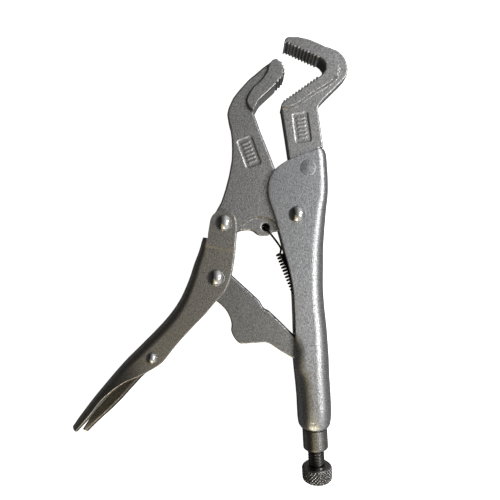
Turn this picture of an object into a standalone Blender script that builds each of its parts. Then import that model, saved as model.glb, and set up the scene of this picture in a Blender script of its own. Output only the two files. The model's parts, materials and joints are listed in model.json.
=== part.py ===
"""Locking pliers with long angled jaws, lying open on a table.

Lengths are in millimetres in the drawings below and are turned into metres when a mesh
is made. The drawings share one origin, the main pivot, with the mid-plane of the tool at
z = 0. The empty named tool places that origin so that the whole tool stands on z = 0 with
the centre of its footprint at the world origin.
"""

import math

import bmesh
import bpy
import numpy as np
from mathutils import Vector

MM = 0.001

# Place of the main pivot in the world, from the tool's own extent.
PIVOT_IN_WORLD = (49.4, 26.43, 10.9)

# Pivots, in the drawing plane.
MAIN_PIVOT = (0.0, 0.0)
JAW_LEVER_PIVOT = (-41.4, -4.7)
LINK_PIVOT = (-45.9, -35.8)
RELEASE_PIVOT = (-82.2, -81.3)
LINK_HEEL = (8.8, -83.5)
FIXED_JAW_RIVET = (6.1, 26.3)
SPRING_HOLE = (-17.7, -6.9)
SPRING_LUG_HOLE = (5.3, -56.6)

# The adjusting screw's axis leaves the tube end here, in this direction.
TUBE_END = (10.9, -122.8)
SCREW_DIRECTION = (0.054, -0.9985)

# Half thicknesses about the mid-plane.
JAW_PAD_HALF = 7.0
JAW_SHANK_HALF = 4.5
JAW_TAB_HALF = 2.2
LINK_HALF = 3.5
LUG_HALF = 1.3
HANDLE_HALF = 7.8
TUBE_HALF = 8.8
EAR_HALF = 7.5
LEVER_HALF = 6.5
RELEASE_HALF = 3.6

# Sheet and gaps.
HANDLE_SHEET = 2.5
LEVER_SHEET = 2.4
RELEASE_SHEET = 1.6
GAP = 0.3

# Rivets.
RIVET_HEAD_RADIUS = 4.6
RIVET_HEAD_HEIGHT = 2.8
RIVET_SHAFT_RADIUS = 3.4
SMALL_HEAD_RADIUS = 3.1
SMALL_HEAD_HEIGHT = 2.0
SMALL_SHAFT_RADIUS = 2.1
PLUG_RADIUS = 4.7

# Teeth.
TOOTH_PITCH = 2.1
TOOTH_DEPTH = 0.9

# Adjusting screw, measured along its axis from the end of the tube, outward.
SLEEVE_RADIUS = 7.15
SLEEVE_PLUG_RADIUS = 6.0
SLEEVE_PLUG_START = -16.0
SLEEVE_END = 12.0
SCREW_RADIUS = 4.7
THREAD_DEPTH = 0.6
THREAD_PITCH = 1.6
SCREW_TIP = -31.9
KNOB_RADIUS = 8.7
KNOB_START = 21.4
KNOB_END = 30.2
KNOB_BORE_DEPTH = 5.2

# Spring.
WIRE_RADIUS = 0.6
COIL_RADIUS = 2.2
COIL_PITCH = 1.95
COIL_START = (-9.2, -22.0)
COIL_DIRECTION = (0.382, -0.924)
COIL_TURNS = 13


def clear_scene():
    for item in list(bpy.data.objects):
        bpy.data.objects.remove(item, do_unlink=True)


def material(name, colour, metallic, roughness):
    made = bpy.data.materials.new(name)
    made.use_nodes = True
    shader = made.node_tree.nodes["Principled BSDF"]
    shader.inputs["Base Color"].default_value = (*colour, 1.0)
    shader.inputs["Metallic"].default_value = metallic
    shader.inputs["Roughness"].default_value = roughness
    made.diffuse_color = (*colour, 1.0)
    return made


def add_empty(name, parent=None, at=(0.0, 0.0), height=0.0):
    """An empty whose children are drawn about the drawing point `at`."""
    empty = bpy.data.objects.new(name, None)
    empty.empty_display_size = 0.01
    bpy.context.scene.collection.objects.link(empty)
    empty["drawn_at"] = (at[0], at[1], height)
    empty.parent = parent
    start = Vector(parent["drawn_at"]) if parent else Vector((0.0, 0.0, 0.0))
    empty.location = (Vector((at[0], at[1], height)) - start) * MM
    return empty


def add_mesh(name, bm, made, parent, in_drawing=True):
    """Link a mesh drawn in millimetres under its joint's empty."""
    bmesh.ops.recalc_face_normals(bm, faces=bm.faces)
    if in_drawing:
        bmesh.ops.translate(bm, verts=bm.verts, vec=-Vector(parent["drawn_at"]))
    bmesh.ops.scale(bm, verts=bm.verts, vec=(MM, MM, MM))
    mesh = bpy.data.meshes.new(name)
    bm.to_mesh(mesh)
    bm.free()
    mesh.materials.append(made)
    item = bpy.data.objects.new(name, mesh)
    bpy.context.scene.collection.objects.link(item)
    item.parent = parent
    return item


def cut(target, cutter, operation="DIFFERENCE"):
    """Apply one Boolean and throw the cutter away."""
    modifier = target.modifiers.new(operation.lower(), "BOOLEAN")
    modifier.operation = operation
    modifier.solver = "EXACT"
    modifier.object = cutter
    bpy.context.view_layer.update()
    graph = bpy.context.evaluated_depsgraph_get()
    result = bpy.data.meshes.new_from_object(target.evaluated_get(graph), depsgraph=graph)
    target.modifiers.remove(modifier)
    target.data = result
    bpy.data.objects.remove(cutter, do_unlink=True)


# Outlines -----------------------------------------------------------------------------


def arc(centre, radius, start, end, steps):
    angles = np.radians(np.linspace(start, end, steps + 1))
    return [(centre[0] + radius * math.cos(a), centre[1] + radius * math.sin(a)) for a in angles]


def rounded(points, radius, steps=3):
    """Round each corner of a closed outline by up to `radius`."""
    count = len(points)
    outline = []
    for i in range(count):
        before = Vector(points[i - 1])
        corner = Vector(points[i])
        after = Vector(points[(i + 1) % count])
        reach = min(radius, 0.45 * (before - corner).length, 0.45 * (after - corner).length)
        start = corner + (before - corner).normalized() * reach
        end = corner + (after - corner).normalized() * reach
        for k in range(steps + 1):
            t = k / steps
            point = start * (1 - t) ** 2 + corner * 2 * t * (1 - t) + end * t**2
            outline.append((point.x, point.y))
    return outline


def teeth(start, end):
    """Points of a row of V-shaped teeth, cut to the left of the way from start to end."""
    begin = Vector(start)
    way = Vector(end) - begin
    count = int(way.length / TOOTH_PITCH)
    left = Vector((-way.y, way.x)).normalized()
    row = []
    for i in range(count):
        crest = begin + way * (i / count)
        root = begin + way * ((i + 0.5) / count) + left * TOOTH_DEPTH
        row += [(crest.x, crest.y), (root.x, root.y)]
    row.append(tuple(end))
    return row


def extruded(outline, low, high):
    bm = bmesh.new()
    ring = [bm.verts.new((x, y, low)) for x, y in outline]
    face = bm.faces.new(ring)
    grown = bmesh.ops.extrude_face_region(bm, geom=[face])
    top = [item for item in grown["geom"] if isinstance(item, bmesh.types.BMVert)]
    bmesh.ops.translate(bm, verts=top, vec=(0.0, 0.0, high - low))
    return bm


def drill(target, centre, radius, parent, low=-20.0, high=20.0, segments=32):
    hole = extruded(arc(centre, radius, 0, 360 - 360 / segments, segments - 1), low, high)
    cut(target, add_mesh("cutter", hole, target.data.materials[0], parent))


def turned(profile, segments=32):
    """Turn a profile of (radius, z) about Z; the profile begins and ends on the axis."""
    bm = bmesh.new()
    rings = []
    for radius, z in profile:
        if radius == 0.0:
            rings.append([bm.verts.new((0.0, 0.0, z))])
        else:
            ring = arc((0.0, 0.0), radius, 0, 360 - 360 / segments, segments - 1)
            rings.append([bm.verts.new((x, y, z)) for x, y in ring])
    for low, high in zip(rings, rings[1:]):
        for i in range(segments):
            k = (i + 1) % segments
            corners = [low[i % len(low)], low[k % len(low)], high[k % len(high)], high[i % len(high)]]
            bm.faces.new(list(dict.fromkeys(corners)))
    return bm


# Bent sheet ---------------------------------------------------------------------------


def sheet_path(along, flat, radius, bend, cheek, curl_radius, curl):
    """Half section of a bent sheet, from the middle of its web outwards.

    The path is a flat half web, a bend, a straight cheek and a curl. Returned for each
    arc length: depth from the web's face, height off the mid-plane, and the direction.
    """
    depth, height, heading = 0.0, 0.0, 0.0
    parts = ((flat, 0.0), (radius * bend, 1 / radius), (cheek, 0.0), (curl_radius * curl, 1 / curl_radius))
    left = along
    for length, bending in parts:
        step = min(left, length)
        left -= step
        if bending:
            turned_to = heading + step * bending
            depth += (math.cos(heading) - math.cos(turned_to)) / bending
            height += (math.sin(turned_to) - math.sin(heading)) / bending
            heading = turned_to
        else:
            depth += step * math.sin(heading)
            height += step * math.cos(heading)
    return depth, height, heading


def sheet_section(width, half, radius, sheet, bend=90.0, curl=0.0):
    """Outer and inner rows of (depth, z) for one station of a bent sheet."""
    bend_angle = math.radians(bend)
    curl_angle = math.radians(curl)
    flat = half - radius * math.sin(bend_angle)
    cheek = (width - radius * (1 - math.cos(bend_angle)) - half * math.sin(curl_angle)) / math.sin(bend_angle)
    total = flat + radius * bend_angle + cheek + half * curl_angle
    bend_end = flat + radius * bend_angle
    zone = max(bend_end + 0.5, total - 1.55 * half)
    marks = [flat * 0.5]
    marks += list(np.linspace(flat, bend_end, 5))
    marks += list(np.linspace(zone, total, 6))
    outer, inner = [], []
    for along in marks:
        depth, height, heading = sheet_path(along, flat, radius, bend_angle, cheek, half, curl_angle)
        outer.append((depth, height))
        inner.append((depth + sheet * math.cos(heading), height - sheet * math.sin(heading)))
    outer = [(d, -z) for d, z in reversed(outer)] + outer
    inner = [(d, -z) for d, z in reversed(inner)] + inner
    return outer, inner


def sheet_body(stations):
    """Loft a bent sheet through stations of (spine point, direction, outer row, inner row)."""
    bm = bmesh.new()
    rings = []
    for spine, direction, outer, inner in stations:
        ring = []
        for depth, z in outer + inner[::-1]:
            x = spine[0] + direction[0] * depth
            y = spine[1] + direction[1] * depth
            ring.append(bm.verts.new((x, y, z)))
        rings.append(ring)
    count = len(rings[0])
    for low, high in zip(rings, rings[1:]):
        for i in range(count):
            k = (i + 1) % count
            bm.faces.new((low[i], low[k], high[k], high[i]))
    for ring in (rings[0], rings[-1]):
        for i in range(count // 2 - 1):
            bm.faces.new((ring[i], ring[i + 1], ring[count - 2 - i], ring[count - 1 - i]))
    return bm


# Fixed side ---------------------------------------------------------------------------

# y, left edge, spine, half thickness, spine radius, sheet, curl of the edge in degrees
HANDLE_STATIONS = [
    (37.3, 11.6, 15.9, 7.8, 5.0, 2.5, 0),
    (35.8, 9.4, 16.5, 7.8, 5.0, 2.5, 0),
    (34.4, 4.3, 17.0, 7.8, 5.2, 2.5, 0),
    (32.7, -0.2, 17.2, 7.8, 5.2, 2.5, 0),
    (29.6, -6.9, 17.5, 7.8, 5.3, 2.5, 0),
    (27.7, -9.7, 17.6, 7.8, 5.4, 2.5, 0),
    (25.4, -12.5, 17.8, 7.8, 5.4, 2.5, 0),
    (22.1, -14.8, 18.0, 7.8, 5.4, 2.5, 0),
    (18.1, -16.2, 18.1, 7.8, 5.4, 2.5, 0),
    (13.6, -16.5, 18.1, 7.8, 5.4, 2.5, 0),
    (9.7, -16.2, 17.9, 7.8, 5.6, 2.5, 0),
    (5.2, -14.8, 17.4, 7.8, 6.0, 2.5, 0),
    (-1.6, -12.5, 16.8, 7.8, 6.4, 2.5, 0),
    (-11.7, -9.7, 16.1, 7.8, 7.0, 2.5, 0),
    (-20.1, -7.5, 15.7, 7.8, 7.4, 2.5, 0),
    (-28.5, -5.2, 15.7, 7.8, 7.6, 2.5, 0),
    (-42.6, -2.4, 15.7, 7.8, 7.7, 2.5, 0),
    (-53.8, -1.7, 16.5, 7.8, 7.7, 2.5, 0),
    (-65.1, -1.3, 17.7, 8.0, 7.8, 2.5, 0),
    (-70.0, -1.3, 18.1, 8.2, 8.0, 2.5, 26),
    (-76.0, -1.4, 18.5, 8.6, 8.3, 2.5, 46),
    (-82.0, -1.6, 18.9, 8.8, 8.5, 2.5, 46),
    (-87.0, -1.3, 19.1, 8.8, 8.6, 2.5, 49),
    (-92.0, -0.9, 19.3, 8.8, 8.7, 2.5, 74),
    (-97.0, -0.4, 19.6, 8.8, 8.7, 2.5, 88.5),
    (-105.0, 0.3, 20.1, 8.8, 8.7, 2.5, 88.5),
    (-113.0, 0.7, 20.4, 8.8, 8.7, 2.5, 88.5),
    (-118.0, 1.1, 20.1, 8.4, 8.3, 2.2, 88.5),
    (-120.8, 1.8, 19.4, 7.8, 7.7, 1.6, 88.2),
    (-122.5, 3.0, 18.2, 7.1, 7.0, 0.9, 88.0),
]


def fixed_handle(steel, parent):
    stations = []
    for y, left, spine, half, radius, sheet, curl in HANDLE_STATIONS:
        outer, inner = sheet_section(spine - left, half, radius, sheet, curl=curl)
        stations.append(((spine, y), (-1.0, 0.0), outer, inner))
    body = add_mesh("fixed_handle", sheet_body(stations), steel, parent)
    x, y = SPRING_LUG_HOLE
    lug = rounded([(x - 2.6, y - 3.0), (14.2, y - 4.5), (14.2, y + 4.5), (x - 2.6, y + 3.0)], 1.5)
    cut(body, add_mesh("lug", extruded(lug, -LUG_HALF, LUG_HALF), steel, parent), "UNION")
    drill(body, SPRING_LUG_HOLE, 1.3, parent, -LUG_HALF - 0.5, LUG_HALF + 0.5, segments=16)
    drill(body, MAIN_PIVOT, RIVET_SHAFT_RADIUS + GAP, parent)
    drill(body, FIXED_JAW_RIVET, PLUG_RADIUS + GAP, parent)


FIXED_HEAD_BACK = [
    (-7.3, 97.3), (-6.6, 99.5), (-4.7, 100.5), (0.0, 100.5), (5.7, 99.4), (13.2, 97.1), (19.1, 95.5),
    (23.8, 93.6), (26.9, 90.6), (28.6, 87.1), (29.4, 82.5), (28.4, 78.6), (25.7, 75.6), (21.0, 71.0),
    (15.3, 65.3), (13.1, 62.8), (12.2, 60.4), (12.6, 57.6), (13.6, 51.2), (14.8, 42.7), (15.4, 38.2),
]  # fmt: skip
FIXED_TAIL = [
    (12.3, 37.8), (12.9, 33.0), (13.8, 27.0), (14.2, 16.5), (9.0, 12.5), (3.0, 13.6), (-1.0, 16.8),
    (-3.0, 24.0), (-4.4, 31.2), (-6.7, 46.5), (-8.8, 59.8),
]  # fmt: skip
FIXED_MOUTH_NOSE = [(-9.1, 62.2), (-7.6, 63.8)]
FIXED_LOWER_FACE = ((-6.3, 64.5), (12.4, 77.6))
FIXED_MOUTH_CORNER = [(14.6, 79.7), (16.2, 82.4), (16.2, 84.9), (14.6, 87.3)]
FIXED_UPPER_FACE = ((12.6, 88.8), (-5.7, 97.2))
FIXED_PAD_STEP = [
    (-4.7, 100.5), (0.0, 100.5), (6.4, 98.9), (13.3, 96.0), (19.0, 93.3), (21.8, 91.0), (23.5, 88.1),
    (24.1, 82.6), (23.5, 78.4), (20.7, 75.7), (16.1, 72.4), (10.4, 69.3), (4.7, 65.3), (1.0, 62.6),
    (-2.9, 60.6), (-6.7, 60.2), (-8.6, 61.0),
]  # fmt: skip


def fixed_jaw(steel, parent):
    mouth = FIXED_MOUTH_NOSE + teeth(*FIXED_LOWER_FACE) + FIXED_MOUTH_CORNER + teeth(*FIXED_UPPER_FACE)
    shank = extruded(FIXED_HEAD_BACK + FIXED_TAIL + mouth, -JAW_SHANK_HALF, JAW_SHANK_HALF)
    jaw = add_mesh("fixed_jaw", shank, steel, parent)
    pad = extruded([FIXED_HEAD_BACK[0]] + FIXED_PAD_STEP + mouth, -JAW_PAD_HALF, JAW_PAD_HALF)
    cut(jaw, add_mesh("pad", pad, steel, parent), "UNION")
    drill(jaw, FIXED_JAW_RIVET, PLUG_RADIUS + GAP, parent)
    recess(jaw, (2.9, 49.7), -82.0, steel, parent)


def recess(jaw, centre, tilt, steel, parent):
    """Sink a plain rounded label panel into both sides of a jaw's shank."""
    long_half, short_half, depth = 8.0, 4.0, 0.5
    turn = math.radians(tilt)
    corners = [(-long_half, -short_half), (long_half, -short_half), (long_half, short_half), (-long_half, short_half)]
    placed = []
    for u, v in corners:
        x = centre[0] + u * math.cos(turn) - v * math.sin(turn)
        y = centre[1] + u * math.sin(turn) + v * math.cos(turn)
        placed.append((x, y))
    for side in (-1, 1):
        low, high = sorted((side * (JAW_SHANK_HALF - depth), side * (JAW_SHANK_HALF + 2.0)))
        cut(jaw, add_mesh("panel", extruded(rounded(placed, 1.5), low, high), steel, parent))


def rivet_profile(half, head_radius, head_height, shaft_radius):
    top = half + GAP
    return [
        (0.0, -top - head_height),
        (head_radius * 0.5, -top - head_height * 0.94),
        (head_radius * 0.85, -top - head_height * 0.62),
        (head_radius, -top - head_height * 0.2),
        (head_radius, -top),
        (shaft_radius, -top),
        (shaft_radius, top),
        (head_radius, top),
        (head_radius, top + head_height * 0.2),
        (head_radius * 0.85, top + head_height * 0.62),
        (head_radius * 0.5, top + head_height * 0.94),
        (0.0, top + head_height),
    ]


def rivet(name, at, profile, steel, parent):
    bm = turned(profile)
    bmesh.ops.translate(bm, verts=bm.verts, vec=(at[0], at[1], 0.0))
    add_mesh(name, bm, steel, parent)


# Moving side --------------------------------------------------------------------------

MOVING_BACK = [
    (-10.8, 88.1), (-12.7, 88.1), (-14.8, 87.4), (-18.9, 84.6), (-27.4, 77.2), (-33.0, 71.0), (-36.3, 66.7),
    (-38.9, 61.1), (-39.7, 57.3), (-39.1, 53.5), (-37.9, 49.0), (-37.1, 43.0), (-36.9, 36.9), (-37.1, 31.2),
    (-38.6, 22.6), (-40.8, 14.1), (-43.1, 7.2), (-45.9, 2.2),
]  # fmt: skip
MOVING_TAB = [(-32.3, -9.2), (-26.6, -8.7), (-24.3, -9.8), (-21.2, -11.8), (-16.3, -11.8), (-13.8, -9.9), (-8.5, -9.0)]
MOVING_FRONT = [
    (-3.0, 11.6), (-6.5, 14.8), (-10.0, 20.4), (-12.4, 26.6), (-15.2, 34.0), (-18.1, 41.4), (-20.9, 48.3),
    (-22.6, 53.4), (-24.3, 57.9), (-24.2, 59.6),
]  # fmt: skip
MOVING_FACE = [(-21.5, 64.6), (-12.2, 73.2)]
MOVING_NOSE = [(-12.2, 73.2), (-8.3, 77.0), (-6.9, 80.6), (-8.6, 86.2)]
MOVING_PAD_STEP = [
    (-10.8, 88.1), (-14.2, 87.2), (-16.3, 84.9), (-16.9, 81.3), (-19.8, 76.7), (-24.9, 72.2), (-27.7, 68.2),
    (-28.9, 64.2), (-27.7, 60.8), (-25.7, 58.9),
]  # fmt: skip
MAIN_BOSS_RADIUS = 10.5
EAR_BOSS_RADIUS = 7.4
TAB_POCKET = ((-20.9, -14.4), 13.5)


def moving_jaw(steel, parent):
    boss = arc(JAW_LEVER_PIVOT, EAR_BOSS_RADIUS, 145, 290, 8)
    hub = arc(MAIN_PIVOT, MAIN_BOSS_RADIUS, -105, 100, 12)
    nose = [point for row in zip(MOVING_NOSE, MOVING_NOSE[1:]) for point in teeth(*row)[:-1]]
    nose.append(MOVING_NOSE[-1])
    front = MOVING_FRONT + MOVING_FACE[:1] + nose
    outline = MOVING_BACK + boss + MOVING_TAB + hub + front
    jaw = add_mesh("moving_jaw", extruded(outline, -JAW_SHANK_HALF, JAW_SHANK_HALF), steel, parent)
    pad = MOVING_PAD_STEP + [MOVING_FRONT[-1]] + MOVING_FACE[:1] + nose
    cut(jaw, add_mesh("pad", extruded(pad, -JAW_PAD_HALF, JAW_PAD_HALF), steel, parent), "UNION")
    centre, radius = TAB_POCKET
    for low, high in ((-9.0, -JAW_TAB_HALF), (JAW_TAB_HALF, 9.0)):
        drill(jaw, centre, radius, parent, low, high)
    drill(jaw, MAIN_PIVOT, RIVET_SHAFT_RADIUS + GAP, parent)
    drill(jaw, JAW_LEVER_PIVOT, RIVET_SHAFT_RADIUS + GAP, parent)
    drill(jaw, SPRING_HOLE, 2.0, parent, segments=20)
    recess(jaw, (-27.2, 35.7), -70.0, steel, parent)


# Spine point, edge point, half thickness, spine radius, sheet, bend in degrees
LEVER_STATIONS = [
    ((-43.4, 2.4), (-39.4, 2.4), 7.5, 3.0, 2.5, 90),
    ((-46.9, 0.4), (-35.9, 0.2), 7.5, 3.0, 2.5, 90),
    ((-48.9, -2.4), (-34.3, -2.9), 7.5, 3.0, 2.5, 90),
    ((-49.7, -7.5), (-34.1, -8.6), 7.5, 3.0, 2.5, 90),
    ((-50.6, -10.6), (-34.5, -12.8), 7.5, 3.0, 2.5, 90),
    ((-53.4, -12.9), (-34.8, -15.5), 7.5, 3.2, 2.5, 90),
    ((-54.2, -15.6), (-35.0, -19.3), 7.5, 3.4, 2.5, 90),
    ((-55.6, -20.1), (-35.7, -25.6), 7.0, 4.0, 2.4, 90),
    ((-58.5, -27.6), (-37.2, -34.0), 6.6, 4.6, 2.4, 90),
    ((-61.4, -36.3), (-40.9, -43.6), 6.5, 5.0, 2.4, 90),
    ((-64.3, -43.3), (-46.2, -49.6), 6.5, 5.2, 2.4, 90),
    ((-67.2, -49.1), (-52.4, -57.0), 6.5, 5.5, 2.4, 90),
    ((-71.5, -55.5), (-59.0, -63.8), 6.5, 5.8, 2.4, 90),
    ((-75.9, -60.9), (-65.2, -70.5), 6.5, 5.8, 2.4, 90),
    ((-81.7, -67.1), (-71.0, -77.3), 6.5, 5.7, 2.4, 90),
    ((-86.5, -71.9), (-76.4, -84.0), 6.5, 5.6, 2.4, 90),
    ((-91.3, -76.7), (-83.1, -88.4), 6.5, 5.6, 2.4, 88),
    ((-96.8, -82.1), (-89.6, -91.5), 6.5, 5.6, 2.4, 82),
    ((-103.7, -89.7), (-98.0, -95.1), 6.6, 5.6, 2.4, 74),
    ((-109.5, -96.6), (-104.9, -99.9), 6.8, 5.6, 2.4, 66),
    ((-114.6, -102.8), (-110.6, -105.0), 6.9, 5.2, 2.4, 60),
    ((-120.4, -110.3), (-116.6, -112.6), 7.0, 5.2, 2.4, 56),
    ((-124.9, -116.3), (-121.6, -118.4), 6.8, 5.2, 2.4, 56),
    ((-128.2, -121.0), (-125.6, -122.7), 6.2, 5.0, 2.4, 56),
]


def lofted_channel(rows):
    stations = []
    for spine, edge, half, radius, sheet, bend in rows:
        way = Vector(edge) - Vector(spine)
        outer, inner = sheet_section(way.length, half, radius, sheet, bend=bend)
        stations.append((spine, way.normalized(), outer, inner))
    return sheet_body(stations)


def lever_handle(steel, parent):
    lever = add_mesh("lever_handle", lofted_channel(LEVER_STATIONS), steel, parent)
    opening = [(-60.0, 8.0), (-60.0, -10.4), (-50.4, -11.6), (-46.0, -12.6), (-28.0, -12.6), (-28.0, 8.0)]
    clear = EAR_HALF - 2.55
    cut(lever, add_mesh("opening", extruded(opening, -clear, clear), steel, parent))
    drill(lever, JAW_LEVER_PIVOT, RIVET_SHAFT_RADIUS + GAP, parent)
    drill(lever, LINK_PIVOT, RIVET_SHAFT_RADIUS + GAP, parent)
    drill(lever, RELEASE_PIVOT, SMALL_SHAFT_RADIUS + GAP, parent, segments=20)


LINK_TOP = [
    (-39.5, -32.8), (-37.0, -35.0), (-27.1, -44.0), (-20.9, -49.8), (-19.5, -52.6), (-18.1, -54.4), (-15.9, -55.2),
    (-10.0, -60.8), (-4.3, -66.5), (1.0, -71.5), (8.0, -78.6),
]  # fmt: skip
LINK_BOTTOM = [
    (-2.0, -82.0), (-9.5, -77.6), (-15.4, -73.6), (-18.0, -73.0), (-26.6, -73.6), (-32.5, -74.0), (-35.6, -70.8),
    (-37.6, -66.5), (-37.1, -62.6), (-38.0, -59.0), (-39.9, -55.1), (-42.8, -51.8), (-47.1, -48.5), (-51.4, -42.5),
]  # fmt: skip
LINK_BOSS_RADIUS = 7.0
LINK_HEEL_RADIUS = 4.2


def toggle_link(steel, parent):
    heel = arc(LINK_HEEL, LINK_HEEL_RADIUS, 20, -120, 8)
    boss = arc(LINK_PIVOT, LINK_BOSS_RADIUS, 200, 60, 8)
    outline = LINK_TOP + heel + LINK_BOTTOM + boss
    link = add_mesh("toggle_link", extruded(outline, -LINK_HALF, LINK_HALF), steel, parent)
    drill(link, LINK_PIVOT, RIVET_SHAFT_RADIUS + GAP, parent)


# Web point, edge point, half thickness, web radius, sheet, bend in degrees
RELEASE_STATIONS = [
    ((-70.0, -69.6), (-73.6, -67.0), 3.6, 1.8, 1.6, 90),
    ((-72.6, -74.4), (-77.8, -71.0), 3.6, 2.0, 1.6, 90),
    ((-77.8, -82.8), (-86.2, -77.2), 3.6, 2.2, 1.6, 90),
    ((-83.4, -88.3), (-90.3, -82.0), 3.6, 2.2, 1.6, 90),
    ((-88.6, -93.0), (-94.8, -87.8), 3.6, 2.2, 1.6, 90),
    ((-94.4, -99.2), (-100.4, -94.6), 3.6, 2.2, 1.6, 90),
    ((-100.0, -105.4), (-106.0, -101.6), 3.6, 2.2, 1.6, 90),
    ((-105.7, -111.1), (-111.2, -107.8), 3.6, 2.2, 1.6, 90),
    ((-111.3, -116.2), (-116.0, -113.2), 3.6, 2.2, 1.6, 90),
    ((-116.0, -120.6), (-119.2, -118.1), 3.6, 2.2, 1.6, 80),
    ((-119.7, -124.3), (-121.7, -122.6), 3.5, 2.0, 1.6, 60),
]


def release_lever(steel, parent):
    release = add_mesh("release_lever", lofted_channel(RELEASE_STATIONS), steel, parent)
    drill(release, RELEASE_PIVOT, SMALL_SHAFT_RADIUS + GAP, parent, segments=20)


# Adjusting screw ----------------------------------------------------------------------


def add_turned(name, profile, steel, parent, segments=32):
    """A turned piece drawn straight in its parent's own axes."""
    return add_mesh(name, turned(profile, segments), steel, parent, in_drawing=False)


def threaded_sleeve(steel, parent):
    bore = SCREW_RADIUS + GAP
    profile = [
        (bore, SLEEVE_PLUG_START),
        (SLEEVE_PLUG_RADIUS, SLEEVE_PLUG_START),
        (SLEEVE_PLUG_RADIUS, GAP),
        (SLEEVE_RADIUS, GAP),
        (SLEEVE_RADIUS, SLEEVE_END - 0.9),
        (SLEEVE_RADIUS - 0.9, SLEEVE_END),
        (bore, SLEEVE_END),
        (bore, SLEEVE_PLUG_START),
    ]
    bm = turned(profile)
    bmesh.ops.remove_doubles(bm, verts=bm.verts, dist=0.001)
    add_mesh("threaded_sleeve", bm, steel, parent, in_drawing=False)


def adjusting_screw(steel, parent):
    """Rod with a ridge at every pitch, a domed tip and a plain end inside the knob."""
    root = SCREW_RADIUS - THREAD_DEPTH
    profile = [(0.0, SCREW_TIP), (2.2, SCREW_TIP + 0.3), (3.6, SCREW_TIP + 1.2), (root, SCREW_TIP + 2.2)]
    z = SCREW_TIP + 3.0
    while z < KNOB_START - THREAD_PITCH:
        profile += [(root, z), (SCREW_RADIUS, z + 0.5 * THREAD_PITCH)]
        z += THREAD_PITCH
    profile += [(root, z), (root, KNOB_START + KNOB_BORE_DEPTH - GAP), (0.0, KNOB_START + KNOB_BORE_DEPTH - GAP)]
    add_turned("adjusting_screw", profile, steel, parent, segments=16)


def screw_knob(steel, parent):
    bore = SCREW_RADIUS - THREAD_DEPTH + GAP
    bore_end = KNOB_START + KNOB_BORE_DEPTH
    profile = [
        (0.0, bore_end),
        (bore, bore_end),
        (bore, KNOB_START),
        (5.6, KNOB_START),
        (5.6, KNOB_START + 0.5),
        (KNOB_RADIUS - 1.0, KNOB_START + 0.5),
        (KNOB_RADIUS, KNOB_START + 1.5),
        (KNOB_RADIUS, KNOB_END - 1.2),
        (KNOB_RADIUS - 1.2, KNOB_END),
        (0.0, KNOB_END),
    ]
    add_turned("screw_knob", profile, steel, parent, segments=40)


# Spring -------------------------------------------------------------------------------


def spring_path():
    """Centre line of the wire: hook through the jaw, coil, and hook on the handle's lug."""
    start = Vector((*COIL_START, 0.0))
    axis = Vector((*COIL_DIRECTION, 0.0)).normalized()
    side = Vector((axis.y, -axis.x, 0.0))
    up = Vector((0.0, 0.0, 1.0))
    over = JAW_TAB_HALF + GAP + WIRE_RADIUS
    hole = Vector((*SPRING_HOLE, 0.0))
    path = [hole + up * h for h in (-3.4, -1.5, 0.5, over - 0.9)]
    path.append(hole + Vector((0.35, -0.5, over - 0.15)))
    path.append(hole + Vector((1.3, -1.9, over)))
    path.append(hole + Vector((4.4, -6.6, over)))
    steps = 10
    for i in range(COIL_TURNS * steps + 1):
        turn = 2 * math.pi * i / steps
        rise = COIL_PITCH * i / steps
        path.append(start + axis * rise + (up * math.cos(turn) + side * math.sin(turn)) * COIL_RADIUS)
    end = start + axis * (COIL_PITCH * COIL_TURNS)
    lug = Vector((*SPRING_LUG_HOLE, 0.0))
    lift = LUG_HALF + GAP + WIRE_RADIUS
    path.append(end + axis * 1.6 + up * lift)
    path.append(lug + (end - lug).normalized() * 1.2 + up * lift)
    path += [lug + up * h for h in (lift - 0.7, 0.0, -1.6)]
    return path


def tension_spring(steel, parent):
    """Sweep a five-sided wire along the spring's centre line."""
    path = spring_path()
    bm = bmesh.new()
    rings = []
    sides = 5
    across = Vector((1.0, 0.0, 0.0))
    for i, point in enumerate(path):
        way = (path[min(i + 1, len(path) - 1)] - path[max(i - 1, 0)]).normalized()
        across = (across - way * across.dot(way)).normalized()
        other = way.cross(across)
        ring = []
        for k in range(sides):
            angle = 2 * math.pi * k / sides
            ring.append(bm.verts.new(point + (across * math.cos(angle) + other * math.sin(angle)) * WIRE_RADIUS))
        rings.append(ring)
    for low, high in zip(rings, rings[1:]):
        for k in range(sides):
            n = (k + 1) % sides
            bm.faces.new((low[k], low[n], high[n], high[k]))
    bm.faces.new(rings[0])
    bm.faces.new(rings[-1])
    add_mesh("tension_spring", bm, steel, parent)


# Assembly -----------------------------------------------------------------------------


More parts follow.
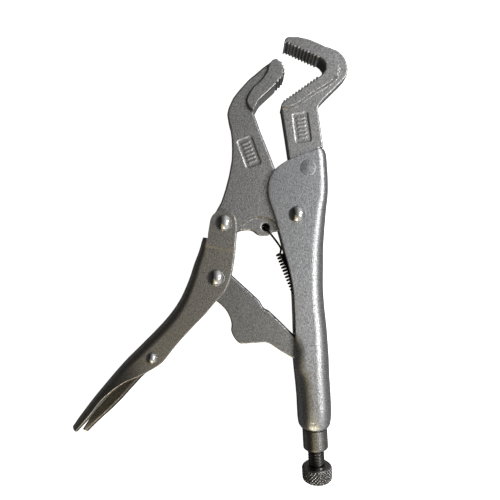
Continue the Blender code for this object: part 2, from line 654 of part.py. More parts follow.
def main():
    clear_scene()
    satin = material("satin_nickel", (0.42, 0.41, 0.39), 1.0, 0.42)
    forged = material("forged_jaw", (0.46, 0.45, 0.43), 1.0, 0.45)
    bright = material("bright_rivet", (0.62, 0.61, 0.59), 1.0, 0.15)
    dark = material("dark_release", (0.16, 0.14, 0.12), 1.0, 0.4)
    black = material("black_spring", (0.03, 0.03, 0.03), 0.6, 0.4)
    oxide = material("oxide_screw", (0.14, 0.14, 0.14), 1.0, 0.35)

    tool = add_empty("tool")
    tool.location = Vector(PIVOT_IN_WORLD) * MM
    fixed_handle(satin, tool)
    fixed_jaw(forged, tool)
    large = (RIVET_HEAD_RADIUS, RIVET_HEAD_HEIGHT, RIVET_SHAFT_RADIUS)
    small = (SMALL_HEAD_RADIUS, SMALL_HEAD_HEIGHT, SMALL_SHAFT_RADIUS)
    rivet("main_pivot_rivet", MAIN_PIVOT, rivet_profile(HANDLE_HALF, *large), bright, tool)
    plug = [(0.0, -HANDLE_HALF), (PLUG_RADIUS, -HANDLE_HALF), (PLUG_RADIUS, HANDLE_HALF), (0.0, HANDLE_HALF)]
    rivet("fixed_jaw_rivet", FIXED_JAW_RIVET, plug, satin, tool)
    tension_spring(black, tool)

    jaw_joint = add_empty("jaw_pivot", tool, MAIN_PIVOT)
    moving_jaw(forged, jaw_joint)
    lever_joint = add_empty("lever_pivot", jaw_joint, JAW_LEVER_PIVOT)
    lever_handle(satin, lever_joint)
    rivet("jaw_lever_rivet", JAW_LEVER_PIVOT, rivet_profile(EAR_HALF, *large), bright, lever_joint)
    rivet("link_rivet", LINK_PIVOT, rivet_profile(LEVER_HALF, *large), bright, lever_joint)
    rivet("release_rivet", RELEASE_PIVOT, rivet_profile(LEVER_HALF, *small), bright, lever_joint)
    link_joint = add_empty("link_pivot", lever_joint, LINK_PIVOT)
    toggle_link(forged, link_joint)
    release_joint = add_empty("release_pivot", lever_joint, RELEASE_PIVOT)
    release_lever(dark, release_joint)

    screw_joint = add_empty("screw_advance", tool, TUBE_END)
    outward = Vector((*SCREW_DIRECTION, 0.0))
    screw_joint.rotation_euler = outward.to_track_quat("Z", "Y").to_euler()
    threaded_sleeve(satin, screw_joint)
    adjusting_screw(oxide, screw_joint)
    screw_knob(oxide, screw_joint)


main()
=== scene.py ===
"""Locking pliers with long angled jaws, lying open on a pale table.

Every drawing below is in millimetres about the main pivot, with the tool's mid-plane at
z = 0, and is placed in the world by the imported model's own joints. Shapes are surfaces of
two parameters worked out as whole numpy arrays.
"""

import json
import math

import bmesh
import bpy
import numpy as np
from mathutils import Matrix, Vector


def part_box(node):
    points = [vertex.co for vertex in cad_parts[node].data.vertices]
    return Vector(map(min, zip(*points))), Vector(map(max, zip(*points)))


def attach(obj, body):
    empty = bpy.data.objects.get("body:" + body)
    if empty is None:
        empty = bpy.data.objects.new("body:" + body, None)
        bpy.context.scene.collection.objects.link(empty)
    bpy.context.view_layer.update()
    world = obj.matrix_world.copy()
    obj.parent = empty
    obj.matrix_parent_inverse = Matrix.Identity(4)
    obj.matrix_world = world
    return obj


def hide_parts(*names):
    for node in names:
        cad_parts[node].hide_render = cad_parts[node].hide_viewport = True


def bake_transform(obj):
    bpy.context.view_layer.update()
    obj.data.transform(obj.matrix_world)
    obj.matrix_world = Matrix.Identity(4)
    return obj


bl_info = {
    "name": "Locking Pliers",
    "version": (1, 0, 0),
    "blender": (4, 5, 0),
    "location": "View3D > Sidebar > Pliers",
    "description": "Builds locking pliers with long angled jaws around their packed frame",
    "category": "Add Mesh",
}

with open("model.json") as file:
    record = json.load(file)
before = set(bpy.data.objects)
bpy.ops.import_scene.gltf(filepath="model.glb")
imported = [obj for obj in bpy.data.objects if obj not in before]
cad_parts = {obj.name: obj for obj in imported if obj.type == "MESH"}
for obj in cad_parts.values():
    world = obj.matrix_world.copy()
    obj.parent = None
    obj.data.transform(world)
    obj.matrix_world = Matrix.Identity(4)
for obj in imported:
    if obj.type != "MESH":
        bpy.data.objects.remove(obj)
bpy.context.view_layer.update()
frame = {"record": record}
JOINTS = {joint["name"]: joint for joint in frame["record"]["behaviour"]["joints"]}
PIVOT = np.array(JOINTS["jaw_pivot"]["pos_m"])
MM = 0.001


def drawn(joint):
    """A joint's place in the drawing, in millimetres from the main pivot."""
    place = (np.array(JOINTS[joint]["pos_m"]) - PIVOT) / MM
    return place[:2]


def node_size(node, axis):
    """A CAD node's extent along one axis, in metres."""
    low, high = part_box(node)
    return high[axis] - low[axis]


MAIN_PIVOT = np.zeros(2)
JAW_LEVER_PIVOT = drawn("lever_pivot")
LINK_PIVOT = drawn("link_pivot")
RELEASE_PIVOT = drawn("release_pivot")
TUBE_END = drawn("screw_turn")
SCREW_AXIS = np.array(JOINTS["screw_advance"]["axis"])
LINK_HEEL = np.array((8.8, -83.5))
FIXED_JAW_RIVET = np.array((6.1, 26.3))
SPRING_HOLE = np.array((-17.7, -6.9))
SPRING_LUG_HOLE = np.array((5.3, -56.6))


# Sizes and colours a user would change ------------------------------------------------


def length(name, description, default):
    return bpy.props.FloatProperty(
        name=name, description=description, default=default, min=0.0, subtype="DISTANCE", unit="LENGTH"
    )


def colour(name, description, default):
    return bpy.props.FloatVectorProperty(
        name=name, description=description, default=default, min=0.0, max=1.0, size=3, subtype="COLOR"
    )


def share(name, description, default):
    return bpy.props.FloatProperty(
        name=name, description=description, default=default, min=0.0, max=1.0, subtype="FACTOR"
    )


class PliersSizes(bpy.types.PropertyGroup):
    pad_thickness: length("Jaw Pad Thickness", "Across the toothed part of a jaw", node_size("fixed_jaw", 2))
    shank_thickness: length("Jaw Shank Thickness", "Across a jaw below its pad", 0.009)
    tab_thickness: length("Spring Tab Thickness", "Across the milled tab round the spring hole", 0.0044)
    link_thickness: length("Link Thickness", "Across the toggle link", node_size("toggle_link", 2))
    tooth_pitch: length("Tooth Pitch", "From one jaw tooth to the next", 0.0021)
    tooth_depth: length("Tooth Depth", "Depth of a jaw tooth", 0.0009)
    rivet_head: length("Rivet Head", "Diameter of a large rivet head", node_size("main_pivot_rivet", 0))
    small_head: length("Small Head", "Diameter of the release rivet's head", node_size("release_rivet", 0))
    knob_diameter: length("Knob Diameter", "Across the knurled knob", node_size("screw_knob", 2))
    thread_pitch: length("Thread Pitch", "From one thread to the next", 0.0016)
    screw_diameter: length("Screw Diameter", "Across the thread", node_size("adjusting_screw", 2))
    wire_diameter: length("Spring Wire", "Diameter of the spring's wire", 0.0012)


class PliersFinish(bpy.types.PropertyGroup):
    handle: colour("Handle", "Satin nickel on the fixed handle", (0.42, 0.425, 0.435))
    lever: colour("Lever", "Satin nickel on the lever", (0.40, 0.384, 0.355))
    jaw: colour("Jaw", "Satin nickel on the forged parts", (0.40, 0.398, 0.395))
    link: colour("Link", "Satin nickel on the toggle link", (0.31, 0.309, 0.308))
    rivet: colour("Rivet", "Bright rivet heads", (0.60, 0.60, 0.59))
    # Near black: partly the release lever's own dark finish, partly painted shade for its place sunk inside
    # the lever's channel.
    release: colour("Release Lever", "Dark finish on the release lever", (0.10, 0.095, 0.09))
    sleeve: colour("Sleeve", "Threaded sleeve", (0.30, 0.29, 0.275))
    spring: colour("Spring", "Black spring wire", (0.03, 0.03, 0.03))
    oxide: colour("Oxide", "Dark oxide on the adjusting screw", (0.13, 0.128, 0.125))
    grain: share("Grain", "Strength of the blasted grain", 0.55)


# Drawing helpers ----------------------------------------------------------------------


def smooth_step(value, low, high):
    """0 below low, 1 above high, and 3t^2 - 2t^3 between."""
    t = np.clip((value - low) / (high - low), 0.0, 1.0)
    return t * t * (3.0 - 2.0 * t)


def smooth_curve(at, knots, values):
    """Cubic through the values at the knots, with each knot's slope taken from its neighbours."""
    values = np.asarray(values, float)
    knots = np.asarray(knots, float)
    slopes = np.gradient(values, knots, axis=0)
    i = np.clip(np.searchsorted(knots, at) - 1, 0, len(knots) - 2)
    span = knots[i + 1] - knots[i]
    t = (at - knots[i]) / span
    if values.ndim > 1:
        t = t[:, None]
        span = span[:, None]
    first = (1 + 2 * t) * (1 - t) ** 2 * values[i] + t * (1 - t) ** 2 * span * slopes[i]
    second = t**2 * (3 - 2 * t) * values[i + 1] + t**2 * (t - 1) * span * slopes[i + 1]
    return first + second


def arc(centre, radius, start, end, steps):
    """Points round a circle from one angle to another, in degrees."""
    angle = np.radians(np.linspace(start, end, steps + 1))
    return np.stack([centre[0] + radius * np.cos(angle), centre[1] + radius * np.sin(angle)], axis=1)


def joined(*parts):
    """One outline from rows of points."""
    return np.concatenate([np.asarray(part, float).reshape(-1, 2) for part in parts])


def softened(outline, radius, steps=4):
    """Round each corner of a closed outline: a quadratic from one side of the corner to the other."""
    before = np.roll(outline, 1, axis=0) - outline
    after = np.roll(outline, -1, axis=0) - outline
    back = np.linalg.norm(before, axis=1, keepdims=True)
    ahead = np.linalg.norm(after, axis=1, keepdims=True)
    reach = np.minimum(radius, 0.45 * np.minimum(back, ahead))
    start = outline + before / back * reach
    end = outline + after / ahead * reach
    t = np.linspace(0, 1, steps + 1)[None, :, None]
    rounded = start[:, None] * (1 - t) ** 2 + outline[:, None] * 2 * t * (1 - t) + end[:, None] * t**2
    return rounded.reshape(-1, 2)


def travelled(path):
    """Distance along a path at each of its points."""
    return np.concatenate([[0.0], np.cumsum(np.linalg.norm(np.diff(path, axis=0), axis=1))])


# A tooth's corners: place along its pitch, and depth as a share of the tooth's
TOOTH_CORNERS = np.array([(0.0, 0.0), (0.12, 0.0), (0.5, 1.0), (0.62, 1.0), (0.94, 0.0)])


def tooth_row(path, sizes):
    """V-shaped teeth cut to the left of the way along a path, with narrow flat crests."""
    path = np.asarray(path, float)
    knots = travelled(path)
    count = round(knots[-1] * MM / sizes.tooth_pitch)
    at = (np.arange(count)[:, None] + TOOTH_CORNERS[:, 0]).ravel() * knots[-1] / count
    sink = np.tile(TOOTH_CORNERS[:, 1] * sizes.tooth_depth / MM, count)

    def on_path(distance):
        return np.stack([np.interp(distance, knots, path[:, axis]) for axis in (0, 1)], axis=1)

    way = on_path(at + 0.4) - on_path(at - 0.4)
    way /= np.linalg.norm(way, axis=1, keepdims=True)
    return on_path(at) + sink[:, None] * np.stack([-way[:, 1], way[:, 0]], axis=1)


# Mesh helpers -------------------------------------------------------------------------


def add_piece(name, surface, made, body, node, sharp=38.0):
    """Put a surface drawn in millimetres into the world on its CAD body, in place of its node.

    A surface is its points and faces and, on sheet and forgings, the points' nearness to an edge.
    """
    points, faces, *edge = surface
    mesh = bpy.data.meshes.new(name)
    mesh.from_pydata((np.asarray(points) * MM + PIVOT).tolist(), [], faces)
    if edge:
        # Nearness to an edge, which the materials brighten as rubbed wear and as a painted edge highlight.
        edge_nearness = mesh.attributes.new("edge", "FLOAT", "POINT")
        edge_nearness.data.foreach_set("value", np.asarray(edge[0], np.float32))
    work = bmesh.new()
    work.from_mesh(mesh)
    bmesh.ops.dissolve_degenerate(work, edges=work.edges, dist=1e-7)
    bmesh.ops.recalc_face_normals(work, faces=work.faces)
    work.to_mesh(mesh)
    work.free()
    mesh.polygons.foreach_set("use_smooth", np.ones(len(mesh.polygons), bool))
    mesh.set_sharp_from_angle(angle=math.radians(sharp))
    mesh.materials.append(made)
    piece = bpy.data.objects.new(name, mesh)
    bpy.context.scene.collection.objects.link(piece)
    if body:
        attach(piece, body)
    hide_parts(node)
    return piece


def tube_faces(rows, columns):
    """Quads of a grid of rows whose columns close on themselves."""
    r = np.arange(rows - 1)[:, None] * columns
    c = np.arange(columns)[None, :]
    n = (c + 1) % columns
    quads = np.stack([r + c, r + n, r + columns + n, r + columns + c], axis=-1)
    return quads.reshape(-1, 4)


def capped(grid, first, last):
    """A tube of rings, closed by a fan of triangles to a point at each end."""
    rows, columns = grid.shape[:2]
    ring = np.arange(columns)
    ahead = (ring + 1) % columns
    end = (rows - 1) * columns
    start_fan = np.stack([ahead, ring, np.full(columns, rows * columns)], axis=1)
    end_fan = np.stack([end + ring, end + ahead, np.full(columns, rows * columns + 1)], axis=1)
    points = np.concatenate([grid.reshape(-1, 3), [first, last]])
    return points, tube_faces(rows, columns).tolist() + start_fan.tolist() + end_fan.tolist()


def turned_grid(profile, segments, relief=None):
    """Rings of a profile of (radius, z) turned about Z: x = r cos a, y = r sin a.

    relief(angle, z, radius) may return a change of radius for the whole grid.
    """
    angle = np.linspace(0, 2 * np.pi, segments, endpoint=False)[None, :]
    radius = profile[:, :1] + 0 * angle
    z = profile[:, 1:] + 0 * angle
    if relief is not None:
        radius = radius + relief(angle, z, radius)
    return np.stack([radius * np.cos(angle), radius * np.sin(angle), z], axis=-1)


def turned_surface(profile, segments, relief=None):
    """A solid turned about Z, whose profile begins and ends on the axis."""
    profile = np.asarray(profile, float)
    grid = turned_grid(profile[1:-1], segments, relief)
    return capped(grid, (0, 0, profile[0, 1]), (0, 0, profile[-1, 1]))


def closed_turning(profile, segments):
    """A ring-shaped profile turned about Z, such as a sleeve; its last row meets its first."""
    grid = turned_grid(profile, segments)
    faces = tube_faces(len(grid) + 1, segments) % (len(grid) * segments)
    return grid.reshape(-1, 3), faces.tolist()


def dense(profile, spacing=0.25):
    """Extra points along the straight stretches of a profile."""
    profile = np.asarray(profile, float)
    step = np.linalg.norm(np.diff(profile, axis=0), axis=1)
    counts = np.maximum(1, np.ceil(step / spacing).astype(int))
    index = np.repeat(np.arange(len(step)), counts)
    offset = np.arange(counts.sum()) - np.repeat(np.cumsum(counts) - counts, counts)
    t = (offset / counts[index])[:, None]
    filled = profile[index] * (1 - t) + profile[index + 1] * t
    return np.concatenate([filled, profile[-1:]])


def tube_along(path, radius, sides=12):
    """A round wire: each ring stands square to the path, carried along without twist."""
    way = np.gradient(path, axis=0)
    way /= np.linalg.norm(way, axis=1, keepdims=True)
    across = [np.cross(way[0], (0.13, 0.27, 0.95))]
    for direction in way[1:]:
        carried = across[-1] - direction * across[-1].dot(direction)
        across.append(carried / np.linalg.norm(carried))
    across = np.array(across)
    across /= np.linalg.norm(across, axis=1, keepdims=True)
    other = np.cross(way, across)
    angle = np.linspace(0, 2 * np.pi, sides, endpoint=False)[None, :, None]
    ring = across[:, None] * np.cos(angle) + other[:, None] * np.sin(angle)
    bulge = 0.5 * radius * way
    return capped(path[:, None] + ring * radius, path[0] - bulge[0], path[-1] + bulge[-1])


# Forged plates: a height over an outline ----------------------------------------------


def outline_field(points, loops):
    """Distance of each point from the loops, positive on the metal, and the nearest loop point."""
    best = np.full(len(points), 1e9)
    nearest = points.copy()
    inside = np.zeros(len(points), bool)
    x, y = points[:, 0], points[:, 1]
    for loop in loops:
        for a, b in zip(loop, np.roll(loop, -1, axis=0)):
            way = b - a
            square = way.dot(way)
            if square < 1e-12:
                continue
            t = np.clip(((points - a) @ way) / square, 0.0, 1.0)
            foot = a + t[:, None] * way
            gap = np.sum((points - foot) ** 2, axis=1)
            closer = gap < best
            best[closer] = gap[closer]
            nearest[closer] = foot[closer]
            if a[1] != b[1]:
                crosses = (a[1] > y) != (b[1] > y)
                inside ^= crosses & (x < (b[0] - a[0]) * (y - a[1]) / (b[1] - a[1]) + a[0])
    distance = np.sqrt(best)
    return np.where(inside, distance, -distance), nearest


def forged_plate(loops, height, spacing=0.36, wall_rows=5):
    """A plate whose two faces are heights over the XY grid, closed by a wall along its loops.

    Grid points outside the outline move to its nearest point, so the silhouette follows
    the drawing. height(points, distance) gives the half thickness as a whole array.
    Returns the points, the faces and each point's nearness to an edge, from 0 to 1.
    """
    low = loops[0].min(axis=0) - spacing
    high = loops[0].max(axis=0) + spacing
    columns, rows = (np.ceil((high - low) / spacing).astype(int) + 1).tolist()
    gx, gy = np.meshgrid(low[0] + np.arange(columns) * spacing, low[1] + np.arange(rows) * spacing)
    points = np.stack([gx.ravel(), gy.ravel()], axis=1)
    distance, nearest = outline_field(points, loops)
    within = distance > 0.38 * spacing
    points = np.where(within[:, None], points, nearest)
    distance = np.where(within, distance, 0.0)
    corner = (np.arange(rows - 1)[:, None] * columns + np.arange(columns - 1)[None, :]).ravel()
    cells = np.stack([corner, corner + 1, corner + columns + 1, corner + columns], axis=1)
    cells = cells[within[cells].any(axis=1)]
    used, index = np.unique(cells, return_inverse=True)
    cells = index.reshape(-1, 4)
    points, distance = points[used], distance[used]
    half = height(points, distance)
    count = len(used)
    edges = np.concatenate([cells[:, [k, (k + 1) % 4]] for k in range(4)])
    key = np.sort(edges, axis=1)
    _, first, times = np.unique(key[:, 0] * count + key[:, 1], return_index=True, return_counts=True)
    rim = edges[first[times == 1]]
    levels = np.linspace(1, -1, wall_rows + 1)
    solid = np.concatenate([np.column_stack([points, half * level]) for level in levels])
    bottom = cells[:, ::-1] + wall_rows * count
    walls = [
        np.column_stack([rim[:, 1], rim[:, 0], rim[:, 0] + count, rim[:, 1] + count]) + k * count
        for k in range(wall_rows)
    ]
    faces = np.concatenate([cells, bottom, *walls])
    near = 1.0 - smooth_step(distance, 0.2, 1.5)
    return welded(solid, faces, np.tile(near, wall_rows + 1))


def welded(points, faces, near):
    """Merge points in one place, drop unused ones, and drop faces that have lost their area."""
    cell = np.round(points / 0.002).astype(np.int64)
    _, first, same = np.unique(cell, axis=0, return_index=True, return_inverse=True)
    faces = same.reshape(-1)[faces]
    points, near = points[first], near[first]
    ahead = np.roll(faces, -1, axis=1)
    keep = faces != ahead
    full = keep.all(axis=1)
    partial = faces[~full]
    kept = keep[~full]
    three = kept.sum(axis=1) == 3
    triangles = partial[three][kept[three]].reshape(-1, 3)
    proper = (triangles[:, 0] != triangles[:, 1]) & (triangles[:, 1] != triangles[:, 2])
    proper &= triangles[:, 0] != triangles[:, 2]
    return compacted(points, faces[full].tolist() + triangles[proper].tolist(), near)


def compacted(points, faces, near):
    """Drop the points that no face uses."""
    corners = np.concatenate([np.ravel(face) for face in faces])
    used, index = np.unique(corners, return_inverse=True)
    ends = np.cumsum([len(face) for face in faces])
    again = np.split(index, ends[:-1])
    return points[used], [face.tolist() for face in again], near[used]


def edge_round(distance, radius):
    """How far a surface drops at a distance from its edge: a quarter circle of that radius."""
    reach = np.clip(radius - distance, 0.0, radius)
    return radius - np.sqrt(np.maximum(radius**2 - reach**2, 0.0))


PANEL_HALF = (7.2, 3.3)
PANEL_DEPTH = 0.36
RIB_PITCH = 2.2
RIB_HEIGHT = 0.2


def panel_relief(points, centre, tilt):
    """A sunk panel with rounded corners and a row of plain parallel ribs, as a change of height."""
    turn = math.radians(tilt)
    along = (points - centre) @ np.array((math.cos(turn), math.sin(turn)))
    across = (points - centre) @ np.array((-math.sin(turn), math.cos(turn)))
    corner = np.abs(np.stack([along, across], axis=1)) - PANEL_HALF
    outside = np.linalg.norm(np.maximum(corner, 0.0), axis=1) + np.minimum(corner.max(axis=1), 0.0)
    sunk = 1.0 - smooth_step(outside, 0.7, 1.5)
    rib_at = np.abs((along / RIB_PITCH - np.floor(along / RIB_PITCH)) - 0.5) * RIB_PITCH
    rib = (1 - smooth_step(rib_at, 0.38, 0.75)) * (1 - smooth_step(np.abs(across), 2.1, 2.7))
    rib *= np.abs(along) < 3 * RIB_PITCH
    return RIB_HEIGHT * rib - PANEL_DEPTH * sunk


# Jaws ---------------------------------------------------------------------------------

FIXED_HEAD_BACK = [
    (-7.3, 97.3), (-6.6, 99.5), (-4.7, 100.5), (0.0, 100.5), (5.7, 99.4), (13.2, 97.1), (19.1, 95.5),
    (23.8, 93.6), (26.9, 90.6), (28.6, 87.1), (29.4, 82.5), (28.4, 78.6), (25.7, 75.6), (21.0, 71.0),
    (15.3, 65.3), (13.1, 62.8), (12.2, 60.4), (12.6, 57.6), (13.6, 51.2), (14.8, 42.7), (15.4, 38.2),
]  # fmt: skip
FIXED_TAIL = [
    (12.3, 37.8), (12.9, 33.0), (13.8, 27.0), (14.2, 16.5), (9.0, 12.5), (3.0, 13.6), (-1.0, 16.8),
    (-3.0, 24.0), (-4.4, 31.2), (-6.7, 46.5), (-8.8, 59.8),
]  # fmt: skip
FIXED_NOSE = [(-9.1, 62.2), (-7.6, 63.8)]
FIXED_LOWER_FACE = ((-6.3, 64.5), (12.4, 77.6))
FIXED_CORNER = [
    (12.6, 77.7), (14.6, 79.7), (16.0, 81.8), (16.3, 83.6), (16.0, 85.4), (14.6, 87.3), (12.8, 88.7),
]  # fmt: skip
FIXED_UPPER_FACE = ((12.6, 88.8), (-5.7, 97.2))
FIXED_PAD_STEP = [
    (-8.6, 100.6), (-0.1, 101.0), (6.4, 99.6), (13.3, 96.6), (19.0, 93.8), (21.8, 91.2), (23.5, 88.1),
    (24.1, 82.6), (23.5, 78.4), (20.7, 75.7), (16.1, 72.4), (10.4, 69.3), (4.7, 65.3), (1.0, 62.6),
    (-2.9, 60.6), (-6.7, 60.2), (-9.6, 60.6), (-10.4, 62.6), (-10.4, 100.6),
]  # fmt: skip
FIXED_PANEL = ((2.9, 49.7), -82.0)

MOVING_BACK = [
    (-10.8, 88.1), (-12.7, 88.1), (-14.8, 87.4), (-18.9, 84.6), (-27.4, 77.2), (-33.0, 71.0), (-36.3, 66.7),
    (-38.9, 61.1), (-39.7, 57.3), (-39.1, 53.5), (-37.9, 49.0), (-37.1, 43.0), (-36.9, 36.9), (-37.1, 31.2),
    (-38.6, 22.6), (-40.8, 14.1), (-43.1, 7.2), (-45.9, 2.2),
]  # fmt: skip
MOVING_TAB = [
    (-32.3, -9.2), (-29.4, -8.7), (-26.6, -8.7), (-24.3, -9.8), (-22.8, -11.2), (-21.2, -11.8),
    (-16.3, -11.8), (-15.0, -11.0), (-13.8, -9.9), (-8.5, -9.0),
]  # fmt: skip
MOVING_FRONT = [
    (-3.0, 11.6), (-6.5, 14.8), (-10.0, 20.4), (-12.4, 26.6), (-15.2, 34.0), (-18.1, 41.4), (-20.9, 48.3),
    (-22.6, 53.4), (-24.3, 57.9), (-24.2, 59.6),
]  # fmt: skip
MOVING_FACE = [(-21.5, 64.6), (-12.2, 73.2)]
MOVING_NOSE = [
    (-12.2, 73.2), (-9.1, 76.2), (-7.6, 77.9), (-6.9, 80.0), (-7.0, 82.2), (-7.6, 84.4), (-8.6, 86.2),
]  # fmt: skip
MOVING_PAD_STEP = [
    (-8.8, 88.6), (-14.0, 88.0), (-16.3, 84.9), (-16.9, 81.3), (-19.8, 76.7), (-24.9, 72.2), (-27.7, 68.2),
    (-28.9, 64.2), (-27.7, 60.8), (-25.5, 58.6), (-22.0, 58.0), (-20.0, 62.0), (-6.0, 75.0), (-5.6, 86.0),
]  # fmt: skip
MOVING_PANEL = ((-27.2, 35.7), -70.0)
MAIN_BOSS_RADIUS = 10.5
EAR_BOSS_RADIUS = 7.4
TAB_POCKET = ((-20.9, -14.4), 13.5)
SPRING_HOLE_RADIUS = 2.0
JAW_CORNER = 1.0
SHANK_ROUNDING, PAD_ROUNDING, FRONT_ROUNDING = 0.9, 0.55, 0.5


def jaw_height(sizes, step_line, panel, moving=False):
    """Half thickness: shank level, raised to the pad inside the step line, dropping at every edge.

    The moving jaw has a milled pocket round its spring hole and a softer front edge as well.
    """
    pad_loop = softened(np.array(step_line), 1.5)
    shank = 0.5 * sizes.shank_thickness / MM
    pad = 0.5 * sizes.pad_thickness / MM
    tab = 0.5 * sizes.tab_thickness / MM
    centre, radius = TAB_POCKET

    def height(points, distance):
        step, _ = outline_field(points, [pad_loop])
        raised = smooth_step(step, -0.3, 0.65)
        half = shank + (pad - shank) * raised
        rounding = SHANK_ROUNDING + (PAD_ROUNDING - SHANK_ROUNDING) * raised
        if moving:
            pocket = radius - np.linalg.norm(points - np.array(centre), axis=1)
            half -= (shank - tab) * smooth_step(pocket, 0.0, 0.7)
            x, y = points.T
            front = smooth_step(x - np.interp(y, (10, 27, 58), (-14, -15, -27)), 0, 3)
            rounding = rounding + FRONT_ROUNDING * front * (1 - raised) * (y > 12)
        return half - edge_round(distance, rounding) + panel_relief(points, *panel)

    return height


def fixed_jaw_surface(sizes):
    lower = tooth_row(FIXED_LOWER_FACE, sizes)
    upper = tooth_row(FIXED_UPPER_FACE, sizes)
    shank = softened(joined(FIXED_HEAD_BACK, FIXED_TAIL, FIXED_NOSE), JAW_CORNER)
    outline = joined(shank, lower, FIXED_CORNER, upper)
    return forged_plate([outline], jaw_height(sizes, FIXED_PAD_STEP, FIXED_PANEL))


def moving_jaw_surface(sizes):
    boss = arc(JAW_LEVER_PIVOT, EAR_BOSS_RADIUS, 145, 290, 16)
    hub = arc(MAIN_PIVOT, MAIN_BOSS_RADIUS, -105, 100, 24)
    teeth = tooth_row(MOVING_NOSE, sizes)
    body = softened(joined(MOVING_BACK, boss, MOVING_TAB, hub, MOVING_FRONT, MOVING_FACE), JAW_CORNER)
    hole = arc(SPRING_HOLE, SPRING_HOLE_RADIUS, 0, 360, 24)[:-1]
    height = jaw_height(sizes, MOVING_PAD_STEP, MOVING_PANEL, moving=True)
    return forged_plate([joined(body, teeth), hole], height)


LINK_TOP = [
    (-39.5, -32.8), (-37.0, -35.0), (-27.1, -44.0), (-20.9, -49.8), (-19.5, -52.6), (-18.1, -54.4),
    (-15.9, -55.2), (-10.0, -60.8), (-4.3, -66.5), (1.0, -71.5), (8.0, -78.6),
]  # fmt: skip
LINK_BOTTOM = [
    (-2.0, -82.0), (-9.5, -77.6), (-15.4, -73.6), (-18.0, -73.0), (-26.6, -73.6), (-32.5, -74.0),
    (-35.6, -70.8), (-37.6, -66.5), (-37.1, -62.6), (-38.0, -59.0), (-39.9, -55.1), (-42.8, -51.8),
    (-47.1, -48.5), (-51.4, -42.5),
]  # fmt: skip
LINK_BOSS_RADIUS = 7.0
LINK_HEEL_RADIUS = 4.2


def link_surface(sizes):
    """The toggle link: a level plate with softened edges, from the lever's boss to its heel."""
    heel = arc(LINK_HEEL, LINK_HEEL_RADIUS, 20, -120, 14)
    boss = arc(LINK_PIVOT, LINK_BOSS_RADIUS, 200, 60, 14)
    outline = softened(joined(LINK_TOP, heel, LINK_BOTTOM, boss), 1.6)
    half = 0.5 * sizes.link_thickness / MM
    return forged_plate([outline], lambda points, distance: half - edge_round(distance, 0.7))


# Bent sheet ---------------------------------------------------------------------------


def bent_path(along, flat, radius, bend, cheek, curl_radius, curl):
    """Where a bent sheet's outer face is at an arc length from the middle of its web.

    A flat half web, a bend, a straight cheek and a curl follow each other. On a bend of
    radius r the heading grows by s / r, and the place moves along the circle's chord. All
    arguments are whole arrays. Returns depth, height and heading.
    """
    depth = np.zeros_like(along)
    height = np.zeros_like(along)
    heading = np.zeros_like(along)
    left = along.copy()
    stretches = ((flat, None), (radius * bend, radius), (cheek, None), (curl_radius * curl, curl_radius))
    for reach, turn in stretches:
        step = np.clip(left, 0.0, reach)
        left = left - step
        if turn is None:
            depth += step * np.sin(heading)
            height += step * np.cos(heading)
        else:
            after = heading + step / turn
            depth += (np.cos(heading) - np.cos(after)) * turn
            height += (np.sin(after) - np.sin(heading)) * turn
            heading = after
    depth += left * np.sin(heading)
    height += left * np.cos(heading)
    return depth, height, heading


WEB_MARKS = np.array((0.02, 0.35, 0.7))
BEND_MARKS = np.linspace(0, 1, 13)[:-1]
CHEEK_MARKS = np.concatenate([[0.0, 0.02, 0.045], np.linspace(0.08, 1, 22)])
BEND_END = len(WEB_MARKS) + len(BEND_MARKS)


def sheet_ring(flat, turned, total, sheet, inset, corner=0.45):
    """A closed walk round a sheet's section as (arc length, depth below the outer face).

    It goes out along the outer face, round the cut edge on two quarter circles, back along
    the inner face, and the same way over the other half as negative arc lengths.
    """
    flat, turned, total, sheet, inset = (value[:, None] for value in (flat, turned, total, sheet, inset))
    start = flat + turned
    outer = np.concatenate(
        [flat * WEB_MARKS, flat + turned * BEND_MARKS, start + (total - corner - start) * CHEEK_MARKS], axis=1
    )
    turn = np.linspace(0, 0.5 * np.pi, 5)[1:]
    edge = total - corner + corner * np.sin(turn)
    sink = corner * (1 - np.cos(turn)) + 0 * edge
    along = np.concatenate([outer, edge, edge[:, ::-1], outer[:, ::-1]], axis=1)
    below = np.concatenate([outer * 0, sink, sheet - sink[:, ::-1], outer * 0 + sheet], axis=1)
    below = np.clip(below, inset, sheet - inset)
    return np.concatenate([along, -along[:, ::-1]], axis=1), np.concatenate([below, below[:, ::-1]], axis=1)


def bent_sheet(spine, direction, width, half, radius, sheet, bend, curl, inset, open_rows=0):
    """Carry a bent sheet's section along its spine, with one value per station.

    The first open_rows stations have no web: they are the two cheeks alone, as ears.
    """
    flat = half - radius * np.sin(bend)
    cheek = (width - radius * (1 - np.cos(bend)) - half * np.sin(curl)) / np.sin(bend)
    turned = radius * bend
    total = flat + turned + cheek + half * curl
    along, sink = sheet_ring(flat, turned, total, sheet, inset)
    section = [value[:, None] for value in (flat, radius, bend, cheek, half, curl)]
    depth, height, heading = bent_path(np.abs(along), *section)
    on_ear = (np.arange(len(spine)) < open_rows)[:, None]
    ear_edge = 0.3 * (np.abs(along) - (flat + turned)[:, None] < 0.01) * on_ear
    sink = np.clip(sink, ear_edge, sheet[:, None] - ear_edge)
    depth = depth + sink * np.cos(heading)
    height = (height - sink * np.sin(heading)) * np.sign(along)
    grid = np.empty((*along.shape, 3))
    grid[..., 0] = spine[:, 0][:, None] + direction[:, 0][:, None] * depth
    grid[..., 1] = spine[:, 1][:, None] + direction[:, 1][:, None] * depth
    grid[..., 2] = height
    travel = travelled(spine)
    from_end = np.minimum(travel, travel[-1] - travel)[:, None]
    from_cut = total[:, None] - np.abs(along)
    # The ears' inner edges count as cut edges too, so the material paints a bright edge highlight along them.
    from_cut[:open_rows] = np.minimum(from_cut, np.abs(along) - (flat + turned)[:, None])[:open_rows]
    near = 1.0 - smooth_step(np.minimum(from_cut, from_end + 0.1), 0.25, 1.5)
    return swept_sheet(grid, near, open_rows)


